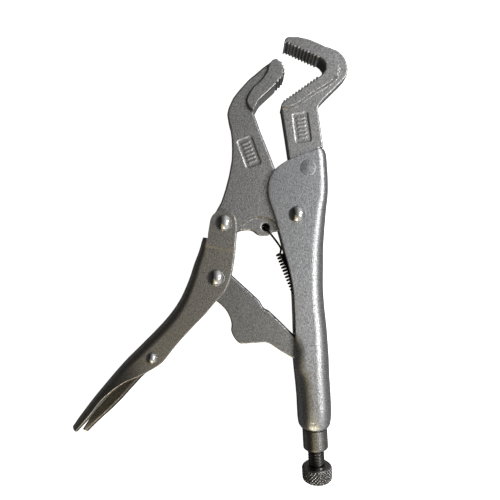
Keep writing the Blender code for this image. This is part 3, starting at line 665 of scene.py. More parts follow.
def swept_sheet(grid, near, open_rows):
    """Faces of rings carried along a path: each end is closed, and so are the ears' inner edges."""
    rows, columns = grid.shape[:2]
    m = columns // 2
    quarter = m // 2
    column = np.arange(columns)
    pair = np.where(column < m, m - 1 - column, 3 * m - 1 - column)
    rank = np.where(column < m, np.minimum(column, pair), np.minimum(column - m, pair - m))
    rank_ahead = np.roll(rank, -1)
    web_cell = np.minimum(rank, rank_ahead) < BEND_END
    quads = tube_faces(rows, columns).reshape(rows - 1, columns, 4)
    keep = np.ones((rows - 1, columns), bool)
    keep[:open_rows] = ~web_cell
    i = np.arange(quarter - 1)
    top_half = np.stack([i, i + 1, m - 2 - i, m - 1 - i], axis=1)
    bridge = np.array([[0, m - 1, m, columns - 1]])
    low_half = np.stack([columns - 1 - i, columns - 2 - i, m + i + 1, m + i], axis=1)
    end = np.concatenate([top_half, low_half, bridge])
    faces = [quads[keep], end + (rows - 1) * columns]
    if not open_rows:
        faces.append(end)
    else:
        past = i >= BEND_END
        faces.append(np.concatenate([top_half[past], low_half[past]]))
        faces.append(np.concatenate([top_half[~past], low_half[~past], bridge]) + open_rows * columns)
        r = np.arange(open_rows)[:, None] * columns
        for a, b in ((BEND_END, m - 1 - BEND_END), (columns - 1 - BEND_END, m + BEND_END)):
            faces.append(np.stack([r + a, r + columns + a, r + columns + b, r + b], axis=-1).reshape(-1, 4))
    return compacted(grid.reshape(-1, 3), np.concatenate(faces).tolist(), near.ravel())


# y, left edge, spine, half thickness, spine radius, sheet, curl of the edge in degrees
HANDLE_STATIONS = np.array([
    (37.3, 11.6, 15.9, 7.8, 5.0, 2.5, 0),
    (35.8, 9.4, 16.5, 7.8, 5.0, 2.5, 0),
    (34.4, 4.3, 17.0, 7.8, 5.2, 2.5, 0),
    (32.7, -0.2, 17.2, 7.8, 5.2, 2.5, 0),
    (29.6, -6.9, 17.5, 7.8, 5.3, 2.5, 0),
    (27.7, -9.7, 17.6, 7.8, 5.4, 2.5, 0),
    (25.4, -12.5, 17.8, 7.8, 5.4, 2.5, 0),
    (22.1, -14.8, 18.0, 7.8, 5.4, 2.5, 0),
    (18.1, -16.2, 18.1, 7.8, 5.4, 2.5, 0),
    (13.6, -16.5, 18.1, 7.8, 5.4, 2.5, 0),
    (9.7, -16.2, 17.9, 7.8, 5.6, 2.5, 0),
    (5.2, -14.8, 17.4, 7.8, 6.0, 2.5, 0),
    (-1.6, -12.5, 16.8, 7.8, 6.4, 2.5, 0),
    (-11.7, -9.7, 16.1, 7.8, 7.0, 2.5, 0),
    (-20.1, -7.5, 15.7, 7.8, 7.4, 2.5, 0),
    (-28.5, -5.2, 15.7, 7.8, 7.6, 2.5, 0),
    (-42.6, -2.4, 15.7, 7.8, 7.7, 2.5, 0),
    (-53.8, -1.7, 16.5, 7.8, 7.7, 2.5, 0),
    (-65.1, -1.3, 17.7, 8.0, 7.8, 2.5, 0),
    (-70.0, -1.3, 18.1, 8.2, 8.0, 2.5, 26),
    (-76.0, -1.4, 18.5, 8.6, 8.3, 2.5, 46),
    (-82.0, -1.6, 18.9, 8.8, 8.5, 2.5, 46),
    (-87.0, -1.3, 19.1, 8.8, 8.6, 2.5, 49),
    (-92.0, -0.9, 19.3, 8.8, 8.7, 2.5, 74),
    (-97.0, -0.4, 19.6, 8.8, 8.7, 2.5, 88.5),
    (-105.0, 0.3, 20.1, 8.8, 8.7, 2.5, 88.5),
    (-113.0, 0.7, 20.4, 8.8, 8.7, 2.5, 88.5),
    (-118.0, 1.1, 20.1, 8.4, 8.3, 2.2, 88.5),
    (-120.8, 1.8, 19.4, 7.8, 7.7, 1.6, 88.2),
    (-122.5, 3.0, 18.2, 7.1, 7.0, 0.9, 88.0),
])  # fmt: skip

# The ears, from their tips down: left edge, right edge, half thickness, sheet
EAR_STATIONS = np.array([
    (-42.3, 2.66, -40.5, 2.64, 7.5, 2.5),
    (-43.9, 2.25, -38.9, 2.15, 7.5, 2.5),
    (-46.9, 0.3, -35.9, 0.1, 7.5, 2.5),
    (-48.6, -2.2, -34.5, -2.7, 7.5, 2.5),
    (-49.3, -5.0, -34.1, -5.6, 7.5, 2.5),
    (-49.7, -7.5, -34.1, -8.6, 7.5, 2.5),
    (-50.2, -10.6, -34.5, -12.8, 7.5, 2.5),
])  # fmt: skip

# Spine point, edge point, half thickness, spine radius, sheet, bend in degrees
LEVER_STATIONS = np.array([
    (-53.4, -12.9, -34.8, -15.5, 7.5, 3.0, 2.5, 90),
    (-54.2, -15.6, -35.0, -19.3, 7.5, 3.2, 2.5, 90),
    (-54.4, -16.3, -35.1, -20.2, 7.45, 3.3, 2.5, 90),
    (-54.8, -17.7, -35.2, -22.0, 7.15, 3.6, 2.4, 90),
    (-55.1, -18.6, -35.4, -23.3, 7.1, 3.8, 2.4, 90),
    (-55.9, -21.0, -35.9, -26.6, 6.95, 4.1, 2.4, 90),
    (-58.5, -27.6, -37.2, -34.0, 6.6, 4.6, 2.4, 90),
    (-61.4, -36.3, -40.9, -43.6, 6.5, 5.0, 2.4, 90),
    (-64.3, -43.3, -46.2, -49.6, 6.5, 5.2, 2.4, 90),
    (-67.2, -49.1, -52.4, -57.0, 6.5, 5.5, 2.4, 90),
    (-71.5, -55.5, -59.0, -63.8, 6.5, 5.8, 2.4, 90),
    (-75.9, -60.9, -65.2, -70.5, 6.5, 5.8, 2.4, 90),
    (-81.7, -67.1, -71.0, -77.3, 6.5, 5.7, 2.4, 90),
    (-86.5, -71.9, -76.4, -84.0, 6.5, 5.6, 2.4, 90),
    (-91.3, -76.7, -83.1, -88.4, 6.5, 5.6, 2.4, 88),
    (-96.8, -82.1, -89.6, -91.5, 6.5, 5.6, 2.4, 82),
    (-103.7, -89.7, -98.0, -95.1, 6.6, 5.6, 2.4, 74),
    (-109.5, -96.6, -104.9, -99.9, 6.8, 5.6, 2.4, 66),
    (-114.6, -102.8, -110.6, -105.0, 6.9, 5.2, 2.4, 60),
    (-120.4, -110.3, -116.6, -112.6, 7.0, 5.2, 2.4, 56),
    (-124.9, -116.3, -121.6, -118.4, 6.8, 5.2, 2.4, 56),
    (-128.2, -121.0, -125.6, -122.7, 6.2, 5.0, 2.4, 56),
])  # fmt: skip
RELEASE_STATIONS = np.array([
    (-70.0, -69.6, -73.6, -67.0, 3.6, 1.8, 1.6, 90),
    (-72.6, -74.4, -77.8, -71.0, 3.6, 2.0, 1.6, 90),
    (-77.8, -82.8, -86.2, -77.2, 3.6, 2.2, 1.6, 90),
    (-83.4, -88.3, -90.3, -82.0, 3.6, 2.2, 1.6, 90),
    (-88.6, -93.0, -94.8, -87.8, 3.6, 2.2, 1.6, 90),
    (-94.4, -99.2, -100.4, -94.6, 3.6, 2.2, 1.6, 90),
    (-100.0, -105.4, -106.0, -101.6, 3.6, 2.2, 1.6, 90),
    (-105.7, -111.1, -111.2, -107.8, 3.6, 2.2, 1.6, 90),
    (-111.3, -116.2, -116.0, -113.2, 3.6, 2.2, 1.6, 90),
    (-116.0, -120.6, -119.2, -118.1, 3.6, 2.2, 1.6, 80),
    (-119.7, -124.3, -121.7, -122.6, 3.5, 2.0, 1.6, 60),
])  # fmt: skip


def end_insets(travel, rounding=0.4):
    """Rounds the first and last cut of a swept sheet: a quarter circle at each end."""
    from_end = np.minimum(travel, travel[-1] - travel)
    return edge_round(from_end, rounding)


def close_ended(start, end, spacing, rounding=0.4):
    """Evenly spaced values with a few more inside each rounded end."""
    near = rounding * (1 - np.cos(np.linspace(0, 0.5 * np.pi, 5)))
    count = int((end - start) / spacing)
    middle = np.linspace(start + rounding * 1.5, end - rounding * 1.5, count)
    return np.concatenate([start + near, middle, (end - near)[::-1]])


CLOSED_CURL = 88.5


def fixed_handle_surface():
    """The fixed handle's channel: sections square to Y, closing to a tube towards the screw."""
    rows = HANDLE_STATIONS[::-1]
    y = close_ended(rows[0, 0], rows[-1, 0], 0.55)[::-1]
    left, spine_x, half, radius, sheet, curl = smooth_curve(y, rows[:, 0], rows[:, 1:]).T
    curl = np.radians(np.clip(curl, 0.0, CLOSED_CURL))
    spine = np.stack([spine_x, y], axis=1)
    direction = np.tile((-1.0, 0.0), (len(y), 1))
    bend = np.full(len(y), 0.5 * np.pi)
    return bent_sheet(spine, direction, spine_x - left, half, radius, sheet, bend, curl, end_insets(y[0] - y))


def channel_surface(rows, spacing=0.6, ears=None):
    """A channel carried through stations of spine point and edge point, led by two ears if given.

    An ear's outline has no spine: it is set back from the left edge by the first bend's radius.
    """
    if ears is not None:
        way = ears[:, 2:4] - ears[:, :2]
        way /= np.linalg.norm(way, axis=1, keepdims=True)
        radius = np.full((len(ears), 1), rows[0, 5])
        bend = np.full((len(ears), 1), 90.0)
        lead = np.concatenate([ears[:, :2] - way * radius, ears[:, 2:5], radius, ears[:, 5:], bend], axis=1)
        rows = np.concatenate([lead, rows])
    middle = 0.5 * (rows[:, :2] + rows[:, 2:4])
    knots = travelled(middle)
    travel = close_ended(0.0, knots[-1], spacing)
    open_rows = 0
    if ears is not None:
        web_start = knots[len(ears)]
        travel = np.sort(np.append(travel, web_start))
        open_rows = int(np.searchsorted(travel, web_start))
    values = smooth_curve(travel, knots, rows)
    spine, edge = values[:, :2], values[:, 2:4]
    width = np.linalg.norm(edge - spine, axis=1)
    direction = (edge - spine) / width[:, None]
    half, radius, sheet, bend = values[:, 4:].T
    bend = np.radians(np.clip(bend, 50.0, 90.0))
    inset = end_insets(travel)
    return bent_sheet(spine, direction, width, half, radius, sheet, bend, 0 * bend, inset, open_rows)


LUG_HALF = 1.3


def spring_lug_surface():
    """The small plate inside the fixed handle that holds the spring's far hook."""
    x, y = SPRING_LUG_HOLE
    nose, root = x - 2.6, 14.6
    outline = softened(np.array([(nose, y - 3.0), (root, y - 4.5), (root, y + 4.5), (nose, y + 3.0)]), 1.5)
    hole = arc(SPRING_LUG_HOLE, 1.3, 0, 360, 24)[:-1]

    def height(points, distance):
        return LUG_HALF - edge_round(distance, 0.3)

    return forged_plate([outline, hole], height, 0.3, 2)


def merged(*surfaces):
    """Several surfaces of points, faces and edge nearness as one."""
    points, faces, near = [], [], []
    start = 0
    for surface in surfaces:
        points.append(surface[0])
        faces += [[start + corner for corner in face] for face in surface[1]]
        near.append(surface[2])
        start += len(surface[0])
    return np.concatenate(points), faces, np.concatenate(near)


# Turned pieces ------------------------------------------------------------------------


def rivet_profile(half, head_radius, head_height, shaft_radius):
    """Half of a rivet from its middle out: shaft, flat underside, short side and domed top."""
    top = half + 0.3
    t = np.linspace(0, 0.5 * np.pi, 22)[:, None]
    rise = top + head_height * (0.2 + 0.8 * np.sin(t) ** 1.7)
    dome = np.concatenate([head_radius * np.cos(t), rise], axis=1)
    dome[-1, 0] = 0.0
    underside = np.array([(shaft_radius, 0.0), (shaft_radius, top), (head_radius - 0.15, top)])
    up = np.concatenate([underside, dome])
    down = up[::-1] * (1, -1)
    return np.concatenate([down, up[1:]])


def rivet_surface(at, *shape):
    points, faces = turned_surface(rivet_profile(*shape), 72)
    return points + (at[0], at[1], 0.0), faces


def plug_surface(at, radius, half, rounding=0.35):
    """A rivet set flush: a plain disc with softened rims."""
    turn = np.linspace(0, 0.5 * np.pi, 5)[:, None]
    out, rise = rounding * (np.cos(turn) - 1), rounding * (np.sin(turn) - 1)
    rim = np.concatenate([radius + out, half + rise], axis=1)
    up = np.concatenate([rim, [(0.0, half)]])
    down = up[::-1] * (1, -1)
    points, faces = turned_surface(np.concatenate([down, up]), 72)
    return points + (at[0], at[1], 0.0), faces


def along_screw(surface):
    """Turn a surface drawn about Z so that Z runs out of the handle's end along the screw."""
    points, faces = surface
    up = np.array((0.0, 0.0, 1.0))
    side = np.cross(up, SCREW_AXIS)
    origin = np.array((*TUBE_END, 0.0))
    return origin + points[:, :1] * side + points[:, 1:2] * up + points[:, 2:3] * SCREW_AXIS, faces


def sleeve_surface():
    """The threaded sleeve: a plug inside the handle's end and a chamfered collar outside it."""
    profile = [
        (4.9, -16.0), (6.0, -16.0), (6.0, 0.3), (6.9, 0.3), (7.15, 0.5), (7.15, 11.1), (6.9, 11.55),
        (6.3, 12.0), (5.2, 12.0), (4.9, 11.7),
    ]  # fmt: skip
    return along_screw(closed_turning(dense(profile, 0.5), 96))


# Places along the screw from the handle's end outwards
SCREW_START, SCREW_END = -31.9, 26.3
TIP_LENGTH = 2.2
THREAD_END = 20.6
KNOB_START, KNOB_END = 21.4, 30.2
THREAD_DEPTH = 0.6
KNURL_DEPTH = 0.65
KNURL_STARTS = 27


def screw_surface(sizes):
    """Screw: radius = root + depth * thread(z / pitch - angle / 2 pi), a rounded triangle wave."""
    pitch = sizes.thread_pitch / MM
    crest = 0.5 * sizes.screw_diameter / MM
    root = crest - THREAD_DEPTH
    thread_start = SCREW_START + TIP_LENGTH
    z = np.arange(thread_start, SCREW_END, pitch / 10)
    turn = np.linspace(0, 0.5 * np.pi, 7)
    tip = np.stack([root * np.sin(turn), SCREW_START + TIP_LENGTH * (1 - np.cos(turn))], axis=1)
    rod = np.stack([np.full(len(z) - 1, root), z[1:]], axis=1)
    profile = np.concatenate([tip, rod, [(root, SCREW_END), (0.0, SCREW_END)]])

    def thread(angle, height, radius):
        wave = height / pitch - angle / (2 * np.pi)
        ridge = 1 - 2 * np.abs(wave - np.floor(wave) - 0.5)
        fade = smooth_step(height, thread_start, thread_start + 2.3)
        fade = fade * (1 - smooth_step(height, THREAD_END, THREAD_END + 0.6))
        return THREAD_DEPTH * smooth_step(ridge, 0.15, 0.85) * fade

    return along_screw(turned_surface(profile, 48, thread))


def knob_surface(sizes):
    """Knob: two opposed helices cut into its rim, depth = the larger of two triangle waves."""
    radius = 0.5 * sizes.knob_diameter / MM
    start, end = KNOB_START, KNOB_END
    profile = [
        (0.0, start + 5.2), (4.4, start + 5.2), (4.4, start + 0.2), (4.6, start), (5.6, start),
        (5.6, start + 0.5), (radius - 1.0, start + 0.5), (radius - 0.3, start + 1.1), (radius, start + 1.7),
        (radius, end - 1.4), (radius - 0.3, end - 0.8), (radius - 1.2, end), (1.0, end), (0.0, end),
    ]  # fmt: skip

    def knurl(angle, height, at):
        turns = angle * KNURL_STARTS / (2 * np.pi)
        rise = height * KNURL_STARTS / (2 * np.pi * radius)
        waves = [np.abs(wave - np.floor(wave) - 0.5) * 2 for wave in (turns + rise, turns - rise)]
        rim = (at > radius - 0.9) * smooth_step(height, start + 0.9, start + 1.7)
        rim *= 1 - smooth_step(height, end - 1.3, end - 0.6)
        return -KNURL_DEPTH * smooth_step(np.maximum(*waves), 0.35, 1.0) * rim

    return along_screw(turned_surface(dense(profile, 0.17), 340, knurl))


# Spring -------------------------------------------------------------------------------

COIL_START = np.array((-9.2, -22.0))
COIL_DIRECTION = np.array((0.382, -0.924))
COIL_RADIUS = 2.2
COIL_PITCH = 1.95
COIL_TURNS = 13
# The eye is the spring's real hook wound into a flat black spiral under the hole, so the hole reads dark:
# painted shade.
EYE_RADIUS, EYE_INNER_RADIUS = 2.1, 0.3
EYE_TURNS = 2.5
EYE_HEIGHT = -2.8


def spring_path(sizes):
    """The wire's centre line: an eye under the jaw, wound flat to fill the spring hole as painted shade, the
    coil, and a hook on the lug.
    """
    wire = 0.5 * sizes.wire_diameter / MM
    over = 0.5 * sizes.tab_thickness / MM + 0.3 + wire
    axis = np.array((*COIL_DIRECTION, 0.0))
    axis /= np.linalg.norm(axis)
    side = np.array((axis[1], -axis[0], 0.0))
    up = np.array((0.0, 0.0, 1.0))
    hole = np.array((*SPRING_HOLE, 0.0))
    start = np.array((*COIL_START, 0.0))
    lug = np.array((*SPRING_LUG_HOLE, 0.0))
    turn = np.linspace(0, COIL_TURNS, COIL_TURNS * 20 + 1)[:, None]
    swing = up * np.cos(2 * np.pi * turn) + side * np.sin(2 * np.pi * turn)
    coil = start + axis * COIL_PITCH * turn + swing * COIL_RADIUS
    end = start + axis * COIL_PITCH * COIL_TURNS
    lift = LUG_HALF + 0.3 + wire
    first = np.array([
        hole + (0.2, -0.3, 0.0),
        hole + (0.5, -0.7, over - 0.7),
        hole + (1.3, -1.8, over),
        hole + (4.4, -5.9, over),
        hole + (7.4, -9.9, over - 0.1),
        hole + (8.8, -12.3, over - 0.5),
    ])  # fmt: skip
    inward = (end - lug) / np.linalg.norm(end - lug)
    last = np.array([
        end + axis * 1.6 + up * lift,
        lug + inward * 1.2 + up * lift,
        lug + inward * 0.3 + up * (lift - 0.3),
        lug + up * (lift - 0.9),
        lug,
        lug + up * -1.6,
    ])  # fmt: skip
    inward_turn = np.linspace(0, 1, 60)[:, None]
    reach = EYE_RADIUS - (EYE_RADIUS - EYE_INNER_RADIUS) * np.maximum(inward_turn - 0.4, 0.0) / 0.6
    angle = math.radians(-54.0) + 2 * np.pi * EYE_TURNS * (inward_turn - 1)
    eye = np.concatenate([reach * np.cos(angle), reach * np.sin(angle), 0 * reach], axis=1)
    eye = hole + up * EYE_HEIGHT + eye
    lead = np.concatenate([eye, rounded_path(np.concatenate([eye[-1:], first, coil[:1]]))[1:]])
    tail = rounded_path(np.concatenate([coil[-1:], last]))
    return np.concatenate([lead[:-1], coil, tail[1:]])


def rounded_path(points, steps=5):
    """A smooth curve through a path's points, by distance along it."""
    knots = travelled(points)
    last = len(points) - 1
    at = np.interp(np.linspace(0, last, last * steps + 1), np.arange(last + 1), knots)
    return smooth_curve(at, knots, points)


# Materials ----------------------------------------------------------------------------


def group_sockets(tree, inputs, outputs):
    for name, kind, default in inputs:
        socket = tree.interface.new_socket(name, in_out="INPUT", socket_type=kind)
        if default is not None:
            socket.default_value = default
    for name, kind in outputs:
        tree.interface.new_socket(name, in_out="OUTPUT", socket_type=kind)
    return tree.nodes.new("NodeGroupInput"), tree.nodes.new("NodeGroupOutput")


def math_node(tree, operation, first, second, clamp=False):
    node = tree.nodes.new("ShaderNodeMath")
    node.operation = operation
    node.use_clamp = clamp
    for socket, value in zip(node.inputs, (first, second)):
        if isinstance(value, (int, float)):
            socket.default_value = value
        else:
            tree.links.new(value, socket)
    return node.outputs[0]


def product(tree, first, *others):
    for other in others:
        first = math_node(tree, "MULTIPLY", first, other)
    return first


def noise(tree, vector, scale, detail, roughness=0.5):
    node = tree.nodes.new("ShaderNodeTexNoise")
    node.inputs["Scale"].default_value = scale
    node.inputs["Detail"].default_value = detail
    node.inputs["Roughness"].default_value = roughness
    tree.links.new(vector, node.inputs["Vector"])
    return node.outputs["Fac"]


def remap(tree, value, low, high, to_low=0.0, to_high=1.0):
    node = tree.nodes.new("ShaderNodeMapRange")
    tree.links.new(value, node.inputs["Value"])
    for name, number in (("From Min", low), ("From Max", high), ("To Min", to_low), ("To Max", to_high)):
        node.inputs[name].default_value = number
    return node.outputs["Result"]


def blasted_grain():
    """Blasted metal: pits about half a millimetre wide, bright flecks and broad soft mottling."""
    tree = bpy.data.node_groups.get("blasted_grain")
    if tree:
        return tree
    tree = bpy.data.node_groups.new("blasted_grain", "ShaderNodeTree")
    given, result = group_sockets(
        tree,
        [("Vector", "NodeSocketVector", None)],
        [("Height", "NodeSocketFloat"), ("Tone", "NodeSocketFloat"), ("Mottle", "NodeSocketFloat")],
    )
    vector = given.outputs["Vector"]
    fine = noise(tree, vector, 2100.0, 1.0)
    coarse = noise(tree, vector, 1150.0, 1.0, 0.6)
    broad = noise(tree, vector, 130.0, 2.0, 0.5)
    height = math_node(tree, "ADD", fine, product(tree, coarse, 0.8))
    tone = math_node(tree, "ADD", remap(tree, fine, 0.36, 0.64), remap(tree, coarse, 0.36, 0.64))
    tree.links.new(height, result.inputs["Height"])
    tree.links.new(product(tree, tone, 0.5), result.inputs["Tone"])
    tree.links.new(remap(tree, broad, 0.3, 0.7), result.inputs["Mottle"])
    return tree


def rubbed_edges_and_highlight():
    """Brighter, smoother metal where the edge attribute nears one, in patches: rubbed wear from handling and
    a painted edge highlight.
    """
    tree = bpy.data.node_groups.get("rubbed_edges_and_highlight")
    if tree:
        return tree
    tree = bpy.data.node_groups.new("rubbed_edges_and_highlight", "ShaderNodeTree")
    given, result = group_sockets(
        tree,
        [
            ("Vector", "NodeSocketVector", None),
            ("Edge", "NodeSocketFloat", 0.0),
            ("Amount", "NodeSocketFloat", 0.6),
        ],
        [("Mask", "NodeSocketFloat")],
    )
    patches = remap(tree, noise(tree, given.outputs["Vector"], 260.0, 3.0, 0.6), 0.25, 0.75, 0.45, 1.0)
    mask = product(tree, given.outputs["Edge"], patches)
    mask = math_node(tree, "MULTIPLY", mask, given.outputs["Amount"], clamp=True)
    tree.links.new(mask, result.inputs["Mask"])
    return tree


def place_group(tree, group, **values):
    node = tree.nodes.new("ShaderNodeGroup")
    node.node_tree = group
    for name, value in values.items():
        if hasattr(value, "node"):
            tree.links.new(value, node.inputs[name])
        else:
            node.inputs[name].default_value = value
    return node


def mix_colour(tree, factor, first, second):
    node = tree.nodes.new("ShaderNodeMix")
    node.data_type = "RGBA"
    tree.links.new(factor, node.inputs["Factor"])
    for socket, value in zip((node.inputs["A"], node.inputs["B"]), (first, second)):
        if hasattr(value, "node"):
            tree.links.new(value, socket)
        else:
            socket.default_value = (*value, 1.0)
    return node.outputs["Result"]


def scaled(colour_value, factor):
    return tuple(min(1.0, channel * factor) for channel in colour_value)


def steel(name, tint, roughness, grain, edge_wear_and_highlight=0.12, contrast=0.52, bump=0.16):
    """Metal with blasted grain in its colour, roughness and height, and brighter edges that are rubbed wear
    and a painted edge highlight.
    """
    made = bpy.data.materials.get(name)
    if made:
        return made
    made = bpy.data.materials.new(name)
    made.use_nodes = True
    tree = made.node_tree
    shader = tree.nodes["Principled BSDF"]
    shader.inputs["Metallic"].default_value = 1.0
    place = tree.nodes.new("ShaderNodeTexCoord").outputs["Object"]
    grains = place_group(tree, blasted_grain(), Vector=place)
    attribute = tree.nodes.new("ShaderNodeAttribute")
    attribute.attribute_name = "edge"
    edges = place_group(tree, rubbed_edges_and_highlight(), Vector=place, Edge=attribute.outputs["Fac"], Amount=edge_wear_and_highlight)
    ground = mix_colour(tree, grains.outputs["Tone"], scaled(tint, 1 - contrast), scaled(tint, 1 + contrast))
    shade = remap(tree, grains.outputs["Mottle"], 0.0, 1.0, 0.0, 0.12)
    ground = mix_colour(tree, shade, ground, scaled(tint, 0.8))
    # Brighter colour at the edges: partly rubbed wear, partly a painted edge highlight.
    final = mix_colour(tree, edges.outputs["Mask"], ground, scaled(tint, 1.25))
    tree.links.new(final, shader.inputs["Base Color"])
    rough = remap(tree, grains.outputs["Tone"], 0.0, 1.0, roughness + 0.09, roughness - 0.07)
    rough = math_node(tree, "SUBTRACT", rough, product(tree, edges.outputs["Mask"], 0.08))
    tree.links.new(rough, shader.inputs["Roughness"])
    relief = tree.nodes.new("ShaderNodeBump")
    relief.inputs["Strength"].default_value = min(1.0, grain)
    relief.inputs["Distance"].default_value = bump * MM
    tree.links.new(grains.outputs["Height"], relief.inputs["Height"])
    tree.links.new(relief.outputs["Normal"], shader.inputs["Normal"])
    return made


# Operators ----------------------------------------------------------------------------


def sizes_and_finish(context):
    return context.scene.pliers_sizes, context.scene.pliers_finish


class PLIERS_OT_fixed_handle(bpy.types.Operator):
    """Add the fixed handle with its spring lug"""

    bl_idname = "pliers.fixed_handle"
    bl_label = "Fixed Handle"

    def execute(self, context):
        finish = context.scene.pliers_finish
        made = steel("satin_handle", finish.handle, 0.36, finish.grain)
        surface = merged(fixed_handle_surface(), spring_lug_surface())
        add_piece("handle_sheet", surface, made, "fixed_side", "fixed_handle")
        return {"FINISHED"}


class PLIERS_OT_fixed_jaw(bpy.types.Operator):
    """Add the fixed jaw with its teeth, raised pad and sunk panel"""

    bl_idname = "pliers.fixed_jaw"
    bl_label = "Fixed Jaw"

    def execute(self, context):
        sizes, finish = sizes_and_finish(context)
        made = steel("blasted_jaw", finish.jaw, 0.38, finish.grain)
        surface = fixed_jaw_surface(sizes)
        add_piece("fixed_jaw_forging", surface, made, "fixed_side", "fixed_jaw")
        return {"FINISHED"}


class PLIERS_OT_moving_jaw(bpy.types.Operator):
    """Add the moving jaw with its teeth, raised pad, sunk panel and spring hole"""

    bl_idname = "pliers.moving_jaw"
    bl_label = "Moving Jaw"

    def execute(self, context):
        sizes, finish = sizes_and_finish(context)
        made = steel("blasted_jaw", finish.jaw, 0.38, finish.grain)
        surface = moving_jaw_surface(sizes)
        add_piece("moving_jaw_forging", surface, made, "jaw_side", "moving_jaw")
        return {"FINISHED"}


class PLIERS_OT_lever(bpy.types.Operator):
    """Add the lever's channel with its two ears"""

    bl_idname = "pliers.lever"
    bl_label = "Lever"

    def execute(self, context):
        finish = context.scene.pliers_finish
        made = steel("satin_lever", finish.lever, 0.33, finish.grain)
        surface = channel_surface(LEVER_STATIONS, ears=EAR_STATIONS)
        add_piece("lever_sheet", surface, made, "lever_side", "lever_handle")
        return {"FINISHED"}


class PLIERS_OT_toggle_link(bpy.types.Operator):
    """Add the toggle link between the lever and the adjusting screw"""

    bl_idname = "pliers.toggle_link"
    bl_label = "Toggle Link"

    def execute(self, context):
        sizes, finish = sizes_and_finish(context)
        made = steel("satin_link", finish.link, 0.38, finish.grain)
        add_piece("link_plate", link_surface(sizes), made, "link_side", "toggle_link")
        return {"FINISHED"}


class PLIERS_OT_release_lever(bpy.types.Operator):
    """Add the narrow release lever that lies inside the lever's channel"""

    bl_idname = "pliers.release_lever"
    bl_label = "Release Lever"

    def execute(self, context):
        finish = context.scene.pliers_finish
        # Near black as dark finish and as painted shade of the channel; its strongly brightened edges are
        # rubbed wear and a painted edge highlight.
        made = steel("release_steel", finish.release, 0.3, 0.3, edge_wear_and_highlight=0.8)
        surface = channel_surface(RELEASE_STATIONS)
        add_piece("release_sheet", surface, made, "release_side", "release_lever")
        return {"FINISHED"}


class PLIERS_OT_rivets(bpy.types.Operator):
    """Add the four domed rivets and the flush plug that holds the fixed jaw"""

    bl_idname = "pliers.rivets"
    bl_label = "Rivets"

    def execute(self, context):
        sizes, finish = sizes_and_finish(context)
        bright = steel("polished_rivet", finish.rivet, 0.17, 0.0, edge_wear_and_highlight=0.0, contrast=0.04)
        large = 0.5 * sizes.rivet_head / MM
        small = 0.5 * sizes.small_head / MM
        rivets = (
            ("main_rivet", MAIN_PIVOT, 7.8, large, 2.8, 3.4, "fixed_side", "main_pivot_rivet"),
            ("jaw_lever_pin", JAW_LEVER_PIVOT, 7.5, large, 2.8, 3.4, "lever_side", "jaw_lever_rivet"),
            ("link_pin", LINK_PIVOT, 6.5, large, 2.8, 3.4, "lever_side", "link_rivet"),
            ("release_pin", RELEASE_PIVOT, 6.5, small, 2.0, 2.1, "lever_side", "release_rivet"),
        )
        for name, at, half, radius, height, shaft, body, node in rivets:
            surface = rivet_surface(at, half, radius, height, shaft)
            add_piece(name, surface, bright, body, node)
        # The handle's colour darkened to 0.84: painted shade, since the flat plug catches more light than the
        # tilted cheek round it.
        made = steel("satin_plug_painted_shade", scaled(finish.handle, 0.84), 0.36, finish.grain)
        surface = plug_surface(FIXED_JAW_RIVET, radius=4.7, half=7.85)
        add_piece("flush_plug", surface, made, "fixed_side", "fixed_jaw_rivet")
        return {"FINISHED"}


class PLIERS_OT_adjuster(bpy.types.Operator):
    """Add the threaded sleeve, the adjusting screw and its knurled knob"""

    bl_idname = "pliers.adjuster"
    bl_label = "Adjuster"

    def execute(self, context):
        sizes, finish = sizes_and_finish(context)
        made = steel("sleeve_steel", finish.sleeve, 0.3, finish.grain)
        add_piece("sleeve", sleeve_surface(), made, "fixed_side", "threaded_sleeve")
        dark = steel("oxide_steel", finish.oxide, 0.3, 0.2, edge_wear_and_highlight=0.0)
        add_piece("screw", screw_surface(sizes), dark, "screw_side", "adjusting_screw")
        grip = steel("knurled_steel", scaled(finish.oxide, 2.2), 0.24, 0.2, edge_wear_and_highlight=0.0)
        add_piece("knob", knob_surface(sizes), grip, "knob_side", "screw_knob", sharp=50)
        return {"FINISHED"}


class PLIERS_OT_spring(bpy.types.Operator):
    """Add the coiled spring, stretched between the handle's lug and the moving jaw"""

    bl_idname = "pliers.spring"
    bl_label = "Spring"

    def execute(self, context):
        sizes, finish = sizes_and_finish(context)
        made = steel("spring_wire", finish.spring, 0.3, 0.2, edge_wear_and_highlight=0.0)
        surface = tube_along(spring_path(sizes), 0.5 * sizes.wire_diameter / MM)
        wire = add_piece("spring", surface, made, None, "tension_spring")
        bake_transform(wire)
        return {"FINISHED"}


CAMERA_LENS = 31.28
CAMERA_PLACE = (0.0228, 0.00633, 0.2629)


class PLIERS_OT_stage(bpy.types.Operator):
    """Add the pale floor, the soft lights and the camera above the tool"""

    bl_idname = "pliers.stage"
    bl_label = "Stage"

    def execute(self, context):
        scene = context.scene
        add_floor()
        add_world(scene)
        for light in STUDIO_LIGHTS:
            add_area_light(*light)
        lens = bpy.data.cameras.new("overhead_camera")
        lens.lens = CAMERA_LENS
        lens.clip_start = 0.01
        camera = bpy.data.objects.new("overhead_camera", lens)
        camera.location = CAMERA_PLACE
        scene.collection.objects.link(camera)
        scene.camera = camera
        scene.view_settings.view_transform = "Standard"
        return {"FINISHED"}


TABLE_REACH = 3.0
TABLE_GLOW = 0.93


